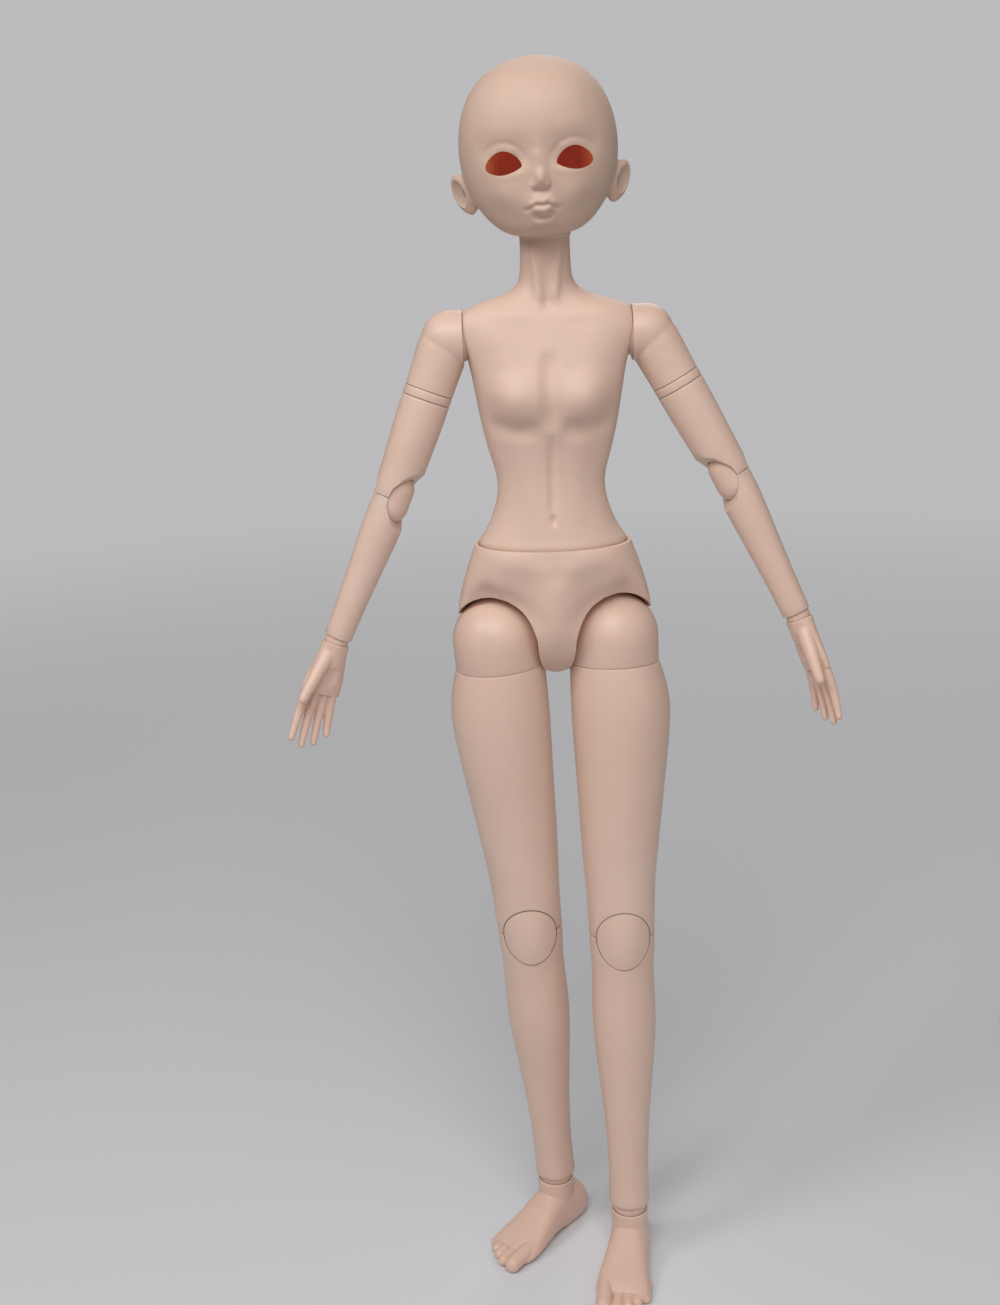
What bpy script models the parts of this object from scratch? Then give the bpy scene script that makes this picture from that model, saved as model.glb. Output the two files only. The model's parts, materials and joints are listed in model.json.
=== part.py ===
"""Ball jointed doll: a strung figure of hollow castings that stands on both feet.

Metres, +Z up. The doll faces -Y and its left side is +X. The soles stand at Z = 0.
Every limb piece turns on a ball or on a round face, and elastic string pulls them all together.
In a limb's own frame Z runs up the limb, and -Y is the side of the kneecap or of the elbow's point.
"""
import math

import bmesh
import bpy
from mathutils import Matrix, Vector

# Fits and cutting
CLEARANCE = 0.0003
OVERRUN = 0.004
LEG_SIDES = 16
ARM_SIDES = 12
BODY_SIDES = 24

# Leg lengths, between joint centres
HIP_HALF_SPACING = 0.028
THIGH_LENGTH = 0.1435
KNEE_SPAN = 0.014
SHIN_LENGTH = 0.1475
ANKLE_HEIGHT = 0.032
HIP_BALL_RADIUS = 0.0215
HIP_FACE_DROP = 0.012
THIGH_RADIUS = 0.0239
KNEE_RADIUS = 0.0148
SHIN_RADIUS = 0.0161
ANKLE_RADIUS = 0.0088
ANKLE_BAND = 0.0024
FOOT_RIM_DROP = 0.0028
LEG_WALL = 0.0042
LEG_CHANNEL = 0.0045
SPIGOT_LENGTH = 0.005
FOOT_FRONT = 0.050
FOOT_HALF_WIDTH = 0.0143
FOOT_ARCH_HEIGHT = 0.029
BIG_TOE_RADIUS = 0.0042
SMALL_TOE_RADIUS = 0.0029

# Arm lengths, between joint centres
SHOULDER_HALF_SPACING = 0.042
SHOULDER_FACE = 0.038
SHOULDER_RADIUS = 0.0127
SHOULDER_BALL_RADIUS = 0.0115
ARM_OFFSET = 0.004
RING_DROP = 0.0245
RING_HEIGHT = 0.004
RING_SPIGOT = 0.0025
UPPER_ARM_LENGTH = 0.0723
ELBOW_SPAN = 0.008
FOREARM_LENGTH = 0.0685
ARM_RADIUS = 0.0112
ELBOW_RADIUS = 0.0084
FOREARM_RADIUS = 0.0092
WRIST_RADIUS = 0.0056
WRIST_BAND = 0.0017
ARM_WALL = 0.0030
ARM_CHANNEL = 0.0026
HAND_LENGTH = 0.0545
PALM_HALF_WIDTH = 0.0105
PALM_HALF_THICKNESS = 0.0046
FINGER_RADIUS = 0.0024
THUMB_LENGTH = 0.021

# Body, measured up from the hips, which stand this far behind the middle of the footprint
STAND_BACK = 0.0166
WAIST_RISE = 0.056
SHOULDER_RISE = 0.088
NECK_RISE = 0.1365
WAIST_HALF_WIDTH = 0.0377
WAIST_RADIUS = 0.024
CHEST_HALF_WIDTH = 0.040
CHEST_DEPTH = 0.026
PELVIS_HALF_WIDTH = 0.0465
PELVIS_DEPTH = 0.031
PELVIS_HEIGHT = 0.063
CROTCH_DROP = 0.015
BODY_CHANNEL = 0.0040
NECK_RADIUS = 0.0112
NECK_BALL_RADIUS = 0.0124

# Head, measured from the ball at the top of the neck
HEAD_HEIGHT = 0.075
HEAD_HALF_WIDTH = 0.0352
HEAD_HALF_DEPTH = 0.0385
CHIN_DROP = 0.0035
SOCKET_RIM_DROP = 0.0020
SOCKET_WALL = 0.0028
SOCKET_MOUTH = 0.0080
EYE_HALF_SPACING = 0.0156
EYE_HALF_WIDTH = 0.0080
EYE_HALF_HEIGHT = 0.0050
EYE_RISE = 0.031
NOSE_RISE = 0.0225
NOSE_LENGTH = 0.0042
NOSE_SPREAD = 0.0050
EAR_RISE = 0.0205
EAR_HALF_HEIGHT = 0.0095
EAR_HALF_DEPTH = 0.0055
EAR_HALF_THICKNESS = 0.0042

# Strings and hooks
LEG_STRING = 0.0024
ARM_STRING = 0.0020
ARM_STRING_BACK = 0.0032
HOOK_WIRE = 0.0016
HOOK_BEND = 0.0026
BAR_DIAMETER = 0.0026
BAR_LENGTH = 0.024
BAR_SINK = 0.0005
LIMB_HOOK_WIRE = 0.0010
LIMB_HOOK_LENGTH = 0.006

# Standing pose, in degrees: how far each length leans out from the midline and forward
THIGH_LEAN = {"right": (-4.1, 1.5), "left": (0.2, 5.8)}
SHIN_LEAN = {"right": (-3.6, -3.5), "left": (0.5, 3.2)}
UPPER_ARM_LEAN = {"right": (21.2, 5.8), "left": (28.8, 5.8)}
FOREARM_LEAN = {"right": (24.4, 6.4), "left": (24.2, 11.5)}
HAND_LEAN = {"right": (20.6, 8.9), "left": (19.0, 11.0)}
FOOT_TURN = {"right": -44.0, "left": -10.0}
HEAD_ROLL = -3.0
ELBOW_CREASE_TURN = 19.0
PALM_TURN = {"right": 30.0, "left": -68.0}
HIP_SPREAD = 12.0
SWING_BACK = 12.0
SWING_FORWARD = 93.0

SIGN = {"right": -1.0, "left": 1.0}

# Finishes: colour, roughness, metallic
FINISHES = {
    "resin": ((0.72, 0.52, 0.42), 0.42, 0.0),
    "hand_resin": ((0.76, 0.52, 0.42), 0.38, 0.0),
    "steel": ((0.55, 0.55, 0.56), 0.30, 1.0),
    "elastic": ((0.85, 0.84, 0.80), 0.80, 0.0),
}

# Profiles: along the limb, half width, sideways bulge, all as shares of the limb's own sizes
THIGH_SHARES = (
    (0.136, 0.950, 0.05), (0.23, 1.000, 0.14), (0.38, 0.955, 0.11), (0.54, 0.885, 0.06),
    (0.71, 0.812, 0.02), (0.827, 0.745, 0.0), (0.90, 0.715, 0.0),
)
THIGH_END_SHARE = 0.685
SHIN_SHARES = (
    (0.0, 1.015, 0.0), (0.07, 0.960, 0.01), (0.14, 0.965, 0.03), (0.23, 1.000, 0.06),
    (0.33, 0.990, 0.06), (0.44, 0.900, 0.04), (0.55, 0.800, 0.02), (0.68, 0.700, 0.0),
    (0.82, 0.628, 0.0), (0.92, 0.640, 0.0),
)
SHIN_TOP_SHARE = 1.015
SHIN_END_SHARE = 0.650
UPPER_ARM_SHARES = ((0.52, 1.00), (0.68, 0.965), (0.84, 0.92))
UPPER_ARM_END_SHARE = 0.885
FOREARM_SHARES = ((0.0, 1.02), (0.16, 1.01), (0.34, 0.93), (0.56, 0.83), (0.78, 0.75))
FOREARM_TOP_SHARE = 1.0
FOREARM_END_SHARE = 0.71

# Knees and elbows: the window over the shield, as shares of the block's radius and of the hinges' span
WINDOW_WIDTH_SHARE = 0.945
WINDOW_HEIGHT_SHARE = 1.17
WINDOW_DEPTH_SHARE = 0.15
SHIELD_SHARE = 1.095
# The folding notch behind a hinge: distances back and up, as shares of the block's radius
NOTCH_SHARES = ((0.10, -2.4), (0.10, -0.70), (0.24, 0.04), (0.78, 0.90), (1.12, 1.24), (2.4, 3.2), (2.4, -2.4))

# The taper from a string's channel to a limb's hollow, as a share of the hollow's radius
TAPER_SHARE = 2.0

# How far a closed egg shape runs towards its poles, in degrees from its equator
POLE_ANGLE = 86.0

# Shoulder bend: along the bend, how far it has turned down, its radius
SHOULDER_BEND_SHARES = ((0.30, 0.26, 1.02), (0.58, 0.56, 0.975), (0.82, 0.84, 0.92))

# Rings of the waist's round bearing under the torso, down from its middle
WAIST_BALL_SHARES = (0.915, 0.76, 0.56, 0.333)
# Torso outside: height, half width, front, back, squareness
TORSO_SHARES = (
    (-0.052, 0.835, 0.830, 0.830, 2.0), (-0.020, 0.780, 0.800, 0.790, 2.1),
    (0.080, 0.680, 0.730, 0.705, 2.1), (0.190, 0.618, 0.685, 0.655, 2.1),
    (0.285, 0.632, 0.675, 0.655, 2.1), (0.365, 0.688, 0.695, 0.675, 2.1),
    (0.465, 0.745, 0.750, 0.695, 2.2), (0.560, 0.790, 0.860, 0.715, 2.2),
    (0.660, 0.825, 0.975, 0.735, 2.2), (0.740, 0.855, 1.000, 0.740, 2.3),
    (0.830, 0.885, 0.900, 0.740, 2.4), (0.925, 0.935, 0.770, 0.700, 2.8),
    (1.020, 1.000, 0.660, 0.650, 3.6), (1.100, 1.000, 0.570, 0.580, 3.6),
    (1.150, 0.930, 0.490, 0.510, 3.0), (1.183, 0.680, 0.445, 0.480, 2.3),
    (1.215, 0.440, 0.425, 0.460, 2.0),
)
# Neck outside: height over the shoulders, then half width, front and back as shares of the neck's radius
NECK_SHARES = ((0.15, 1.10, 0.97, 1.05), (0.3375, 1.02, 0.98, 1.02), (0.525, 1.0, 1.0, 1.0))
# Torso inside: height, half width, front, back
TORSO_INSIDE_SHARES = (
    (1.10, 0.26, 0.28, 0.28), (1.04, 0.55, 0.36, 0.36), (0.90, 0.62, 0.46, 0.46),
    (0.72, 0.68, 0.70, 0.54), (0.50, 0.60, 0.56, 0.50), (0.19, 0.47, 0.48, 0.47),
    (-0.02, 0.56, 0.52, 0.52),
)
# Pelvis outside: height up from the crotch, half width, front, back
PELVIS_SHARES = (
    (0.0, 0.12, 0.24, 0.30), (0.06, 0.34, 0.40, 0.62), (0.16, 0.70, 0.62, 0.88),
    (0.28, 0.93, 0.72, 0.99), (0.40, 0.995, 0.78, 1.00), (0.52, 0.990, 0.81, 0.97),
    (0.68, 0.940, 0.82, 0.90), (0.84, 0.870, 0.795, 0.82), (1.0, 0.790, 0.760, 0.765),
)
# Head outside: height, half width, front, back
HEAD_SHARES = (
    (0.0, 0.44, 0.60, 0.42), (0.053, 0.60, 0.79, 0.54), (0.147, 0.862, 0.875, 0.70),
    (0.25, 0.945, 0.915, 0.83), (0.37, 0.985, 0.930, 0.93), (0.48, 1.000, 0.945, 0.985),
    (0.60, 0.985, 0.975, 1.000), (0.72, 0.920, 0.950, 0.965), (0.83, 0.800, 0.835, 0.850),
    (0.92, 0.590, 0.620, 0.630), (0.98, 0.300, 0.320, 0.320),
)
HEAD_INSIDE_SHARES = (
    (0.94, 0.28, 0.30, 0.30), (0.86, 0.60, 0.64, 0.65), (0.74, 0.80, 0.83, 0.85),
    (0.60, 0.885, 0.885, 0.91), (0.45, 0.905, 0.860, 0.89), (0.30, 0.875, 0.840, 0.78),
    (0.18, 0.780, 0.790, 0.66), (0.085, 0.530, 0.600, 0.50),
)
# Room for a swinging leg: distance down the thigh and growth of its radius, as shares of the ball
ROOM_GROWTH_SHARES = ((0.0, 0.0), (0.45, 0.055), (0.9, 0.07), (1.5, 0.15), (2.6, 0.22))
ROOM_SLICES = 12
ROOM_STEPS = 12
WINDOW_SIDES = 20
CAP_FRONT_SHARE = 0.12
CAP_BACK_SHARE = 0.42
# Foot: length towards the toes, half width, height, inward offset
FOOT_SHARES = (
    (-0.40, 0.38, 0.44, 0.0), (-0.33, 0.58, 0.66, 0.0), (-0.18, 0.68, 0.80, 0.0),
    (0.0, 0.70, 0.84, 0.0), (0.20, 0.72, 0.78, 0.02), (0.38, 0.80, 0.60, 0.06),
    (0.56, 0.92, 0.44, 0.08), (0.70, 1.00, 0.35, 0.06), (0.80, 0.98, 0.29, 0.04),
)
ANKLE_COLUMN_SHARES = ((0.22, 0.80), (0.55, 1.02), (0.80, 1.08), (1.0, 1.10))
# Toes: inward place across the foot, where the toe starts, its reach and its thickness
TOE_SHARES = (
    (0.66, 0.62, 1.00, 1.0), (0.18, 0.62, 0.97, 1.0), (-0.17, 0.60, 0.92, 0.95),
    (-0.49, 0.57, 0.86, 0.90), (-0.78, 0.54, 0.79, 0.85),
)
TOE_RING_SHARES = ((0.0, 0.85), (0.6, 1.0), (0.9, 0.8), (1.0, 0.4))
# Hand: distance from the wrist, half width, half thickness
PALM_SHARES = (
    (0.055, 0.60, 1.25), (0.12, 0.66, 1.28), (0.24, 0.84, 1.15), (0.38, 1.00, 1.0),
    (0.50, 1.00, 0.85), (0.56, 0.94, 0.70),
)
# Fingers: place across the palm, where the tip ends, sideways lean
FINGER_SHARES = ((0.72, 0.955, 0.18), (0.25, 1.000, 0.02), (-0.24, 0.960, -0.06), (-0.70, 0.870, -0.14))
FINGER_RING_SHARES = ((0.0, 0.95), (0.3, 1.0), (0.65, 0.88), (0.92, 0.68), (1.0, 0.34))
FINGER_START_SHARE = 0.50
THUMB_START_SHARE = 0.20


def clear_scene():
    for scene_object in list(bpy.data.objects):
        bpy.data.objects.remove(scene_object, do_unlink=True)


def make_material(name, finish):
    """A piece's own material, in one of the doll's finishes."""
    colour, roughness, metallic = FINISHES[finish]
    material = bpy.data.materials.new(f"{name}_{finish}")
    material.use_nodes = True
    shader = material.node_tree.nodes["Principled BSDF"]
    shader.inputs["Base Color"].default_value = (*colour, 1.0)
    shader.inputs["Roughness"].default_value = roughness
    shader.inputs["Metallic"].default_value = metallic
    return material


def frame_from(z_axis, y_hint, origin):
    """A placing matrix with Z along one direction and Y as near as it can be to another."""
    z_axis = z_axis.normalized()
    y_axis = (y_hint - y_hint.dot(z_axis) * z_axis).normalized()
    x_axis = y_axis.cross(z_axis)
    turn = Matrix((x_axis, y_axis, z_axis)).transposed().to_4x4()
    return Matrix.Translation(origin) @ turn


def leaning(out_degrees, forward_degrees, sign):
    """A downward direction that leans out from the midline and forward."""
    across = sign * math.sin(math.radians(out_degrees))
    ahead = -math.sin(math.radians(forward_degrees))
    return Vector((across, ahead, -math.sqrt(1.0 - across ** 2 - ahead ** 2)))


def oval(height, half_width, front, back, sides, power=2.0, across=0.0, along=0.0):
    """A level ring: an oval whose front (-Y) and back can differ, squarer as power grows."""
    ring = []
    for step in range(sides):
        angle = 2.0 * math.pi * step / sides
        cosine, sine = math.cos(angle), math.sin(angle)
        depth = back if sine > 0.0 else front
        x = half_width * math.copysign(abs(cosine) ** (2.0 / power), cosine)
        y = depth * math.copysign(abs(sine) ** (2.0 / power), sine)
        ring.append(Vector((across + x, along + y, height)))
    return ring


def disc(height, radius, sides, across=0.0, along=0.0):
    return oval(height, radius, radius, radius, sides, across=across, along=along)


def on_ball(radius, centre, start, stop, steps, sides):
    """Rings on a ball between two angles, counted in degrees up from its equator."""
    rings = []
    for step in range(steps + 1):
        angle = math.radians(start + (stop - start) * step / steps)
        rings.append(disc(centre + radius * math.sin(angle), radius * math.cos(angle), sides))
    return rings


def seat_for(radius, sides):
    """The radius of a faceted seat whose flats still clear a ball of the given radius."""
    return (radius + CLEARANCE * 0.7) / math.cos(math.pi / sides) ** 1.6


def spigot_for(bore, sides):
    """The radius of a faceted spigot that turns freely in a faceted bore."""
    return bore * math.cos(math.pi / sides) - CLEARANCE * 0.5


def skin(rings, closed_loop=False):
    """A solid through equal rings: a closed loop of rings bounds a bored piece."""
    mesh = bmesh.new()
    loops = [[mesh.verts.new(point) for point in ring] for ring in rings]
    pairs = list(zip(loops, loops[1:]))
    if closed_loop:
        pairs.append((loops[-1], loops[0]))
    sides = len(loops[0])
    for near, far in pairs:
        for step in range(sides):
            after = (step + 1) % sides
            mesh.faces.new((near[step], near[after], far[after], far[step]))
    if not closed_loop:
        mesh.faces.new(loops[0])
        mesh.faces.new(loops[-1])
    bmesh.ops.recalc_face_normals(mesh, faces=mesh.faces)
    return mesh


def put(name, mesh, finish, place):
    """An object whose mesh is in its own frame and which stands at the given place."""
    data = bpy.data.meshes.new(name)
    mesh.to_mesh(data)
    mesh.free()
    if finish:
        data.materials.append(make_material(name, finish))
    data.shade_smooth()
    data.set_sharp_from_angle(angle=math.radians(35.0))
    piece = bpy.data.objects.new(name, data)
    bpy.context.scene.collection.objects.link(piece)
    piece.matrix_world = place
    return piece


def combine(piece, tool_mesh, operation, place=None):
    """Cut a shape out of a piece, or join one to it, and keep the result as its mesh."""
    tool = put("tool", tool_mesh, None, piece.matrix_world if place is None else place)
    step = piece.modifiers.new("step", "BOOLEAN")
    step.operation = operation
    step.solver = "EXACT"
    step.object = tool
    bpy.context.view_layer.update()
    graph = bpy.context.evaluated_depsgraph_get()
    result = bpy.data.meshes.new_from_object(piece.evaluated_get(graph))
    before = piece.data
    result.name = before.name
    piece.modifiers.clear()
    piece.data = result
    bpy.data.meshes.remove(before)
    bpy.data.objects.remove(tool, do_unlink=True)


def prism(outline, low, high):
    """A bar along X with an outline of (y, z) points."""
    return skin([[Vector((low, y, z)) for y, z in outline], [Vector((high, y, z)) for y, z in outline]])


def tunnel(half_width, half_height, middle, near, far, sides):
    """An oval bar along Y, centred at a height."""
    rings = []
    for along in (near, far):
        ring = []
        for step in range(sides):
            angle = 2.0 * math.pi * step / sides
            ring.append(Vector((half_width * math.cos(angle), along, middle + half_height * math.sin(angle))))
        rings.append(ring)
    return skin(rings)


def rod(start, end, radius, sides):
    """A straight round bar between two points."""
    place = frame_from(end - start, Vector((0.3, 1.0, 0.2)), start)
    mesh = skin([disc(0.0, radius, sides), disc((end - start).length, radius, sides)])
    mesh.transform(place)
    return mesh


def ellipsoid(half_x, half_y, half_z, centre, sides, steps):
    """A closed egg shape with a small flat at each pole."""
    rings = []
    for step in range(steps + 1):
        angle = math.radians(POLE_ANGLE * (2.0 * step / steps - 1.0))
        rings.append([
            Vector((point.x * half_x, point.y * half_y, half_z * math.sin(angle))) + centre
            for point in disc(0.0, math.cos(angle), sides)
        ])
    return skin(rings)


def open_end(piece, hinge, seam, radius, span, upward):
    """Cut the window over the shield and the folding notch from the end of a limb piece."""
    window = tunnel(radius * WINDOW_WIDTH_SHARE, span * WINDOW_HEIGHT_SHARE, seam,
                    -2.0 * radius, -WINDOW_DEPTH_SHARE * radius, WINDOW_SIDES)
    combine(piece, window, "DIFFERENCE")
    outline = [(radius * back, hinge + upward * radius * up) for back, up in NOTCH_SHARES]
    combine(piece, prism(outline, -2.0 * radius, 2.0 * radius), "DIFFERENCE")


def joint_block(name, radius, span, channel, sides, finish, place):
    """The double ended ball of a knee or elbow, with its shield in front, bored for the string."""
    shield = put("shield", skin([disc(-2.0 * radius, radius * SHIELD_SHARE, sides),
                                 disc(radius, radius * SHIELD_SHARE, sides)]), None, place)
    width = radius * WINDOW_WIDTH_SHARE - CLEARANCE
    height = span * WINDOW_HEIGHT_SHARE - CLEARANCE
    window = tunnel(width, height, -span / 2.0, -2.0 * radius, -2.0 * WINDOW_DEPTH_SHARE * radius, WINDOW_SIDES)
    combine(shield, window, "INTERSECT")
    bore_angle = math.degrees(math.acos(channel * 1.25 / radius))
    rings = on_ball(radius, -span, -bore_angle, 0.0, 4, sides)
    rings += on_ball(radius, 0.0, 0.0, bore_angle, 4, sides)
    block = put(name, skin(rings), finish, place)
    combine(block, copy_of(shield), "UNION")
    bpy.data.objects.remove(shield, do_unlink=True)
    top, bottom = Vector((0.0, 0.0, 2.0 * radius)), Vector((0.0, 0.0, -span - 2.0 * radius))
    combine(block, rod(bottom, top, channel, sides), "DIFFERENCE")
    return block


def cup_rings(radius, centre, rim_height, mouth, steps, sides, upward):
    """Rings of a hollow ball seat, from its rim to the mouth of the string's channel."""
    start = math.degrees(math.asin(rim_height / radius))
    stop = math.degrees(math.acos(mouth / radius))
    return on_ball(radius, centre, upward * start, upward * stop, steps, sides)


def seam_height(span):
    """How far a knee's or elbow's side seam lies below its upper hinge, to the upper piece's rim."""
    return span / 2.0 - CLEARANCE


def build_thigh(name, finish, place, sign):
    sides = LEG_SIDES
    face = -HIP_FACE_DROP - CLEARANCE
    end = -THIGH_LENGTH
    rim = end - seam_height(KNEE_SPAN)
    bore = HIP_BALL_RADIUS - LEG_WALL
    outer = [disc(face, HIP_BALL_RADIUS + CLEARANCE, sides)]
    for along, width, bulge in THIGH_SHARES:
        radius = THIGH_RADIUS * width
        outer.append(disc(-THIGH_LENGTH * along, radius, sides, across=sign * THIGH_RADIUS * bulge))
    outer.append(disc(rim, THIGH_RADIUS * THIGH_END_SHARE, sides))
    seat = seat_for(KNEE_RADIUS, sides)
    inner = [disc(rim, seat, sides)] + cup_rings(seat, end, 0.0, LEG_CHANNEL, 5, sides, 1.0)
    hollow = THIGH_RADIUS * THIGH_SHARES[-2][1] - LEG_WALL
    inner.append(disc(end + seat + LEG_WALL, LEG_CHANNEL, sides))
    inner.append(disc(end + seat + TAPER_SHARE * hollow, hollow, sides))
    inner += [disc(face - THIGH_RADIUS, bore, sides), disc(face, bore, sides)]
    thigh = put(name, skin(outer + inner, closed_loop=True), finish, place)
    open_end(thigh, end, end - KNEE_SPAN / 2.0, KNEE_RADIUS, KNEE_SPAN, 1.0)
    return thigh


def build_shin(name, finish, place, sign):
    sides = LEG_SIDES
    top = seam_height(KNEE_SPAN)
    end = -SHIN_LENGTH
    rim = end + ANKLE_BAND
    outer = [disc(top, SHIN_RADIUS * SHIN_TOP_SHARE, sides)]
    for along, width, calf in SHIN_SHARES:
        radius = SHIN_RADIUS * width
        outer.append(oval(-SHIN_LENGTH * along, radius, radius, radius + SHIN_RADIUS * 2.0 * calf, sides))
    outer.append(disc(rim, SHIN_RADIUS * SHIN_END_SHARE, sides))
    ankle = seat_for(ANKLE_RADIUS, sides)
    inner = cup_rings(ankle, end, rim - end, LEG_CHANNEL * 0.8, 3, sides, 1.0)
    hollow = SHIN_RADIUS * SHIN_SHARES[-3][1] - LEG_WALL
    inner += [disc(end + ankle + LEG_WALL, LEG_CHANNEL * 0.8, sides), disc(-SHIN_LENGTH * 0.6, hollow, sides)]
    seat = seat_for(KNEE_RADIUS, sides)
    inner += [disc(-seat - 2.0 * LEG_WALL, hollow, sides), disc(-seat - LEG_WALL * 0.5, LEG_CHANNEL, sides)]
    inner += on_ball(seat, 0.0, -math.degrees(math.acos(LEG_CHANNEL / seat)), 0.0, 5, sides)
    inner.append(disc(top, seat, sides))
    shin = put(name, skin(outer + inner, closed_loop=True), finish, place)
    open_end(shin, 0.0, KNEE_SPAN / 2.0, KNEE_RADIUS, KNEE_SPAN, -1.0)
    return shin


def build_hip_ball(name, finish, place, waist_point):
    """A dome on a round face, with a spigot that turns in the thigh and a slanted string hole."""
    sides = LEG_SIDES
    bore = HIP_BALL_RADIUS - LEG_WALL
    spigot = spigot_for(bore, sides)
    hollow = spigot - LEG_WALL * 0.7
    face = -HIP_FACE_DROP
    outer = [disc(face - SPIGOT_LENGTH, spigot, sides), disc(face, spigot, sides)]
    outer += [disc(face, HIP_BALL_RADIUS + CLEARANCE, sides)]
    outer += on_ball(HIP_BALL_RADIUS, 0.0, 0.0, 84.0, 6, sides)
    inner = on_ball(hollow, 0.0, 80.0, 0.0, 3, sides)
    inner.append(disc(face - SPIGOT_LENGTH, hollow, sides))
    ball = put(name, dome(outer, inner), finish, place)
    local = place.inverted() @ waist_point
    way = local.normalized()
    hole = rod(way * hollow * 0.5, way * (HIP_BALL_RADIUS + OVERRUN), LEG_CHANNEL, 12)
    combine(ball, hole, "DIFFERENCE")
    return ball


def dome(outer, inner):
    """A cup with closed top: outer rings up to the crown, inner rings down from its underside."""
    mesh = bmesh.new()
    loops = [[mesh.verts.new(point) for point in ring] for ring in outer + inner]
    sides = len(loops[0])
    crown = len(outer) - 1
    for index in range(len(loops)):
        if index == crown:
            continue
        near, far = loops[index], loops[(index + 1) % len(loops)]
        for step in range(sides):
            after = (step + 1) % sides
            mesh.faces.new((near[step], near[after], far[after], far[step]))
    mesh.faces.new(loops[crown])
    mesh.faces.new(loops[crown + 1])
    bmesh.ops.recalc_face_normals(mesh, faces=mesh.faces)
    return mesh


def build_ball(name, radius, channel, sides, finish, place):
    """A plain bored ball, for an ankle or a wrist."""
    angle = math.degrees(math.acos(channel / radius))
    outer = on_ball(radius, 0.0, -angle, angle, 6, sides)
    return put(name, skin(outer, closed_loop=True), finish, place)


def build_foot(name, finish, place, sign):
    """Sections from heel to toes with a flat sole, an ankle column, five toes and a ball socket."""
    sides = LEG_SIDES
    centre = ANKLE_HEIGHT
    rings = []
    for along, width, height, inward in FOOT_SHARES:
        tall = FOOT_ARCH_HEIGHT * height
        ring = []
        for point in oval(0.0, FOOT_HALF_WIDTH * width, tall * 0.56, tall * 0.56, sides, power=2.5):
            z = max(point.y + tall * 0.44, 0.0) - centre
            x = point.x - sign * FOOT_HALF_WIDTH * inward
            ring.append(Vector((x, -FOOT_FRONT * along, z)))
        rings.append(ring)
    foot = put(name, skin(rings), finish, place)
    column = []
    column_top = centre - FOOT_RIM_DROP
    for height, width in ANKLE_COLUMN_SHARES:
        radius = ANKLE_RADIUS * width
        column.append(disc(column_top * height - centre, radius, sides))
    combine(foot, skin(column), "UNION")
    for inward, start, reach, thickness in TOE_SHARES:
        radius = (BIG_TOE_RADIUS if inward == TOE_SHARES[0][0] else SMALL_TOE_RADIUS) * thickness
        x = -sign * FOOT_HALF_WIDTH * inward
        root, tip = -FOOT_FRONT * start, -FOOT_FRONT * reach
        toe = []
        for share, width in TOE_RING_SHARES:
            along = root + (tip - root) * share
            toe.append([
                Vector((x + point.x, along, max(point.y + radius * 0.9, 0.0) - centre))
                for point in disc(0.0, radius * width, 8)
            ])
        combine(foot, skin(toe), "UNION")
    seat = ellipsoid_ball(seat_for(ANKLE_RADIUS, sides), sides)
    combine(foot, seat, "DIFFERENCE")
    well = rod(Vector((0.0, 0.0, -ANKLE_RADIUS * 0.5)), Vector((0.0, 0.0, -ANKLE_RADIUS - LIMB_HOOK_LENGTH)),
               LEG_CHANNEL * 0.7, 12)
    combine(foot, well, "DIFFERENCE")
    return foot


def ellipsoid_ball(radius, sides):
    return ellipsoid(radius, radius, radius, Vector((0.0, 0.0, 0.0)), sides, 12)


def build_shoulder(name, finish, place, sign, ring_place):
    """A bent tube: a dome in the chest's seat, a round face on the chest, then down to the ring."""
    sides = ARM_SIDES
    start = SHOULDER_FACE + CLEARANCE - SHOULDER_HALF_SPACING
    to_local = place.inverted() @ ring_place
    end_point, end_turn = to_local.translation, to_local.to_3x3()
    side_axis = Vector((sign, 0.0, 0.0))
    down_axis = -(end_turn @ Vector((0.0, 0.0, 1.0)))
    seat_angle = math.degrees(math.acos(-start / SHOULDER_BALL_RADIUS))
    channel_angle = math.degrees(math.asin(ARM_CHANNEL * 1.4 / SHOULDER_BALL_RADIUS))

    def ring_at(centre, direction, radius):
        turn = frame_from(direction, Vector((0.0, 1.0, 0.0)), centre)
        return [turn @ point for point in disc(0.0, radius, sides)]

    rings = []
    for step in range(4):
        angle = math.radians(channel_angle + (seat_angle - channel_angle) * step / 3.0)
        along = -SHOULDER_BALL_RADIUS * math.cos(angle)
        rings.append(ring_at(side_axis * along, side_axis, SHOULDER_BALL_RADIUS * math.sin(angle)))
    face = side_axis * start
    rings.append(ring_at(face, side_axis, SHOULDER_RADIUS))
    for share, turn_share, width in SHOULDER_BEND_SHARES:
        direction = (side_axis.lerp(down_axis, turn_share)).normalized()
        middle = curve_point(face, side_axis, end_point, down_axis, share)
        rings.append(ring_at(middle, direction, SHOULDER_RADIUS * width))
    rings.append(ring_at(end_point, down_axis, ARM_RADIUS))
    bore = ARM_RADIUS - ARM_WALL
    rings.append(ring_at(end_point, down_axis, bore))
    rings.append(ring_at(end_point - down_axis * (RING_SPIGOT + CLEARANCE), down_axis, bore))
    for share, turn_share, _ in reversed(SHOULDER_BEND_SHARES[:-1]):
        direction = (side_axis.lerp(down_axis, turn_share)).normalized()
        middle = curve_point(face, side_axis, end_point, down_axis, share)
        rings.append(ring_at(middle, direction, bore * (0.75 + 0.25 * share)))
    rings.append(ring_at(face, side_axis, ARM_CHANNEL * 1.9))
    return put(name, skin(rings, closed_loop=True), finish, place)


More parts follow.
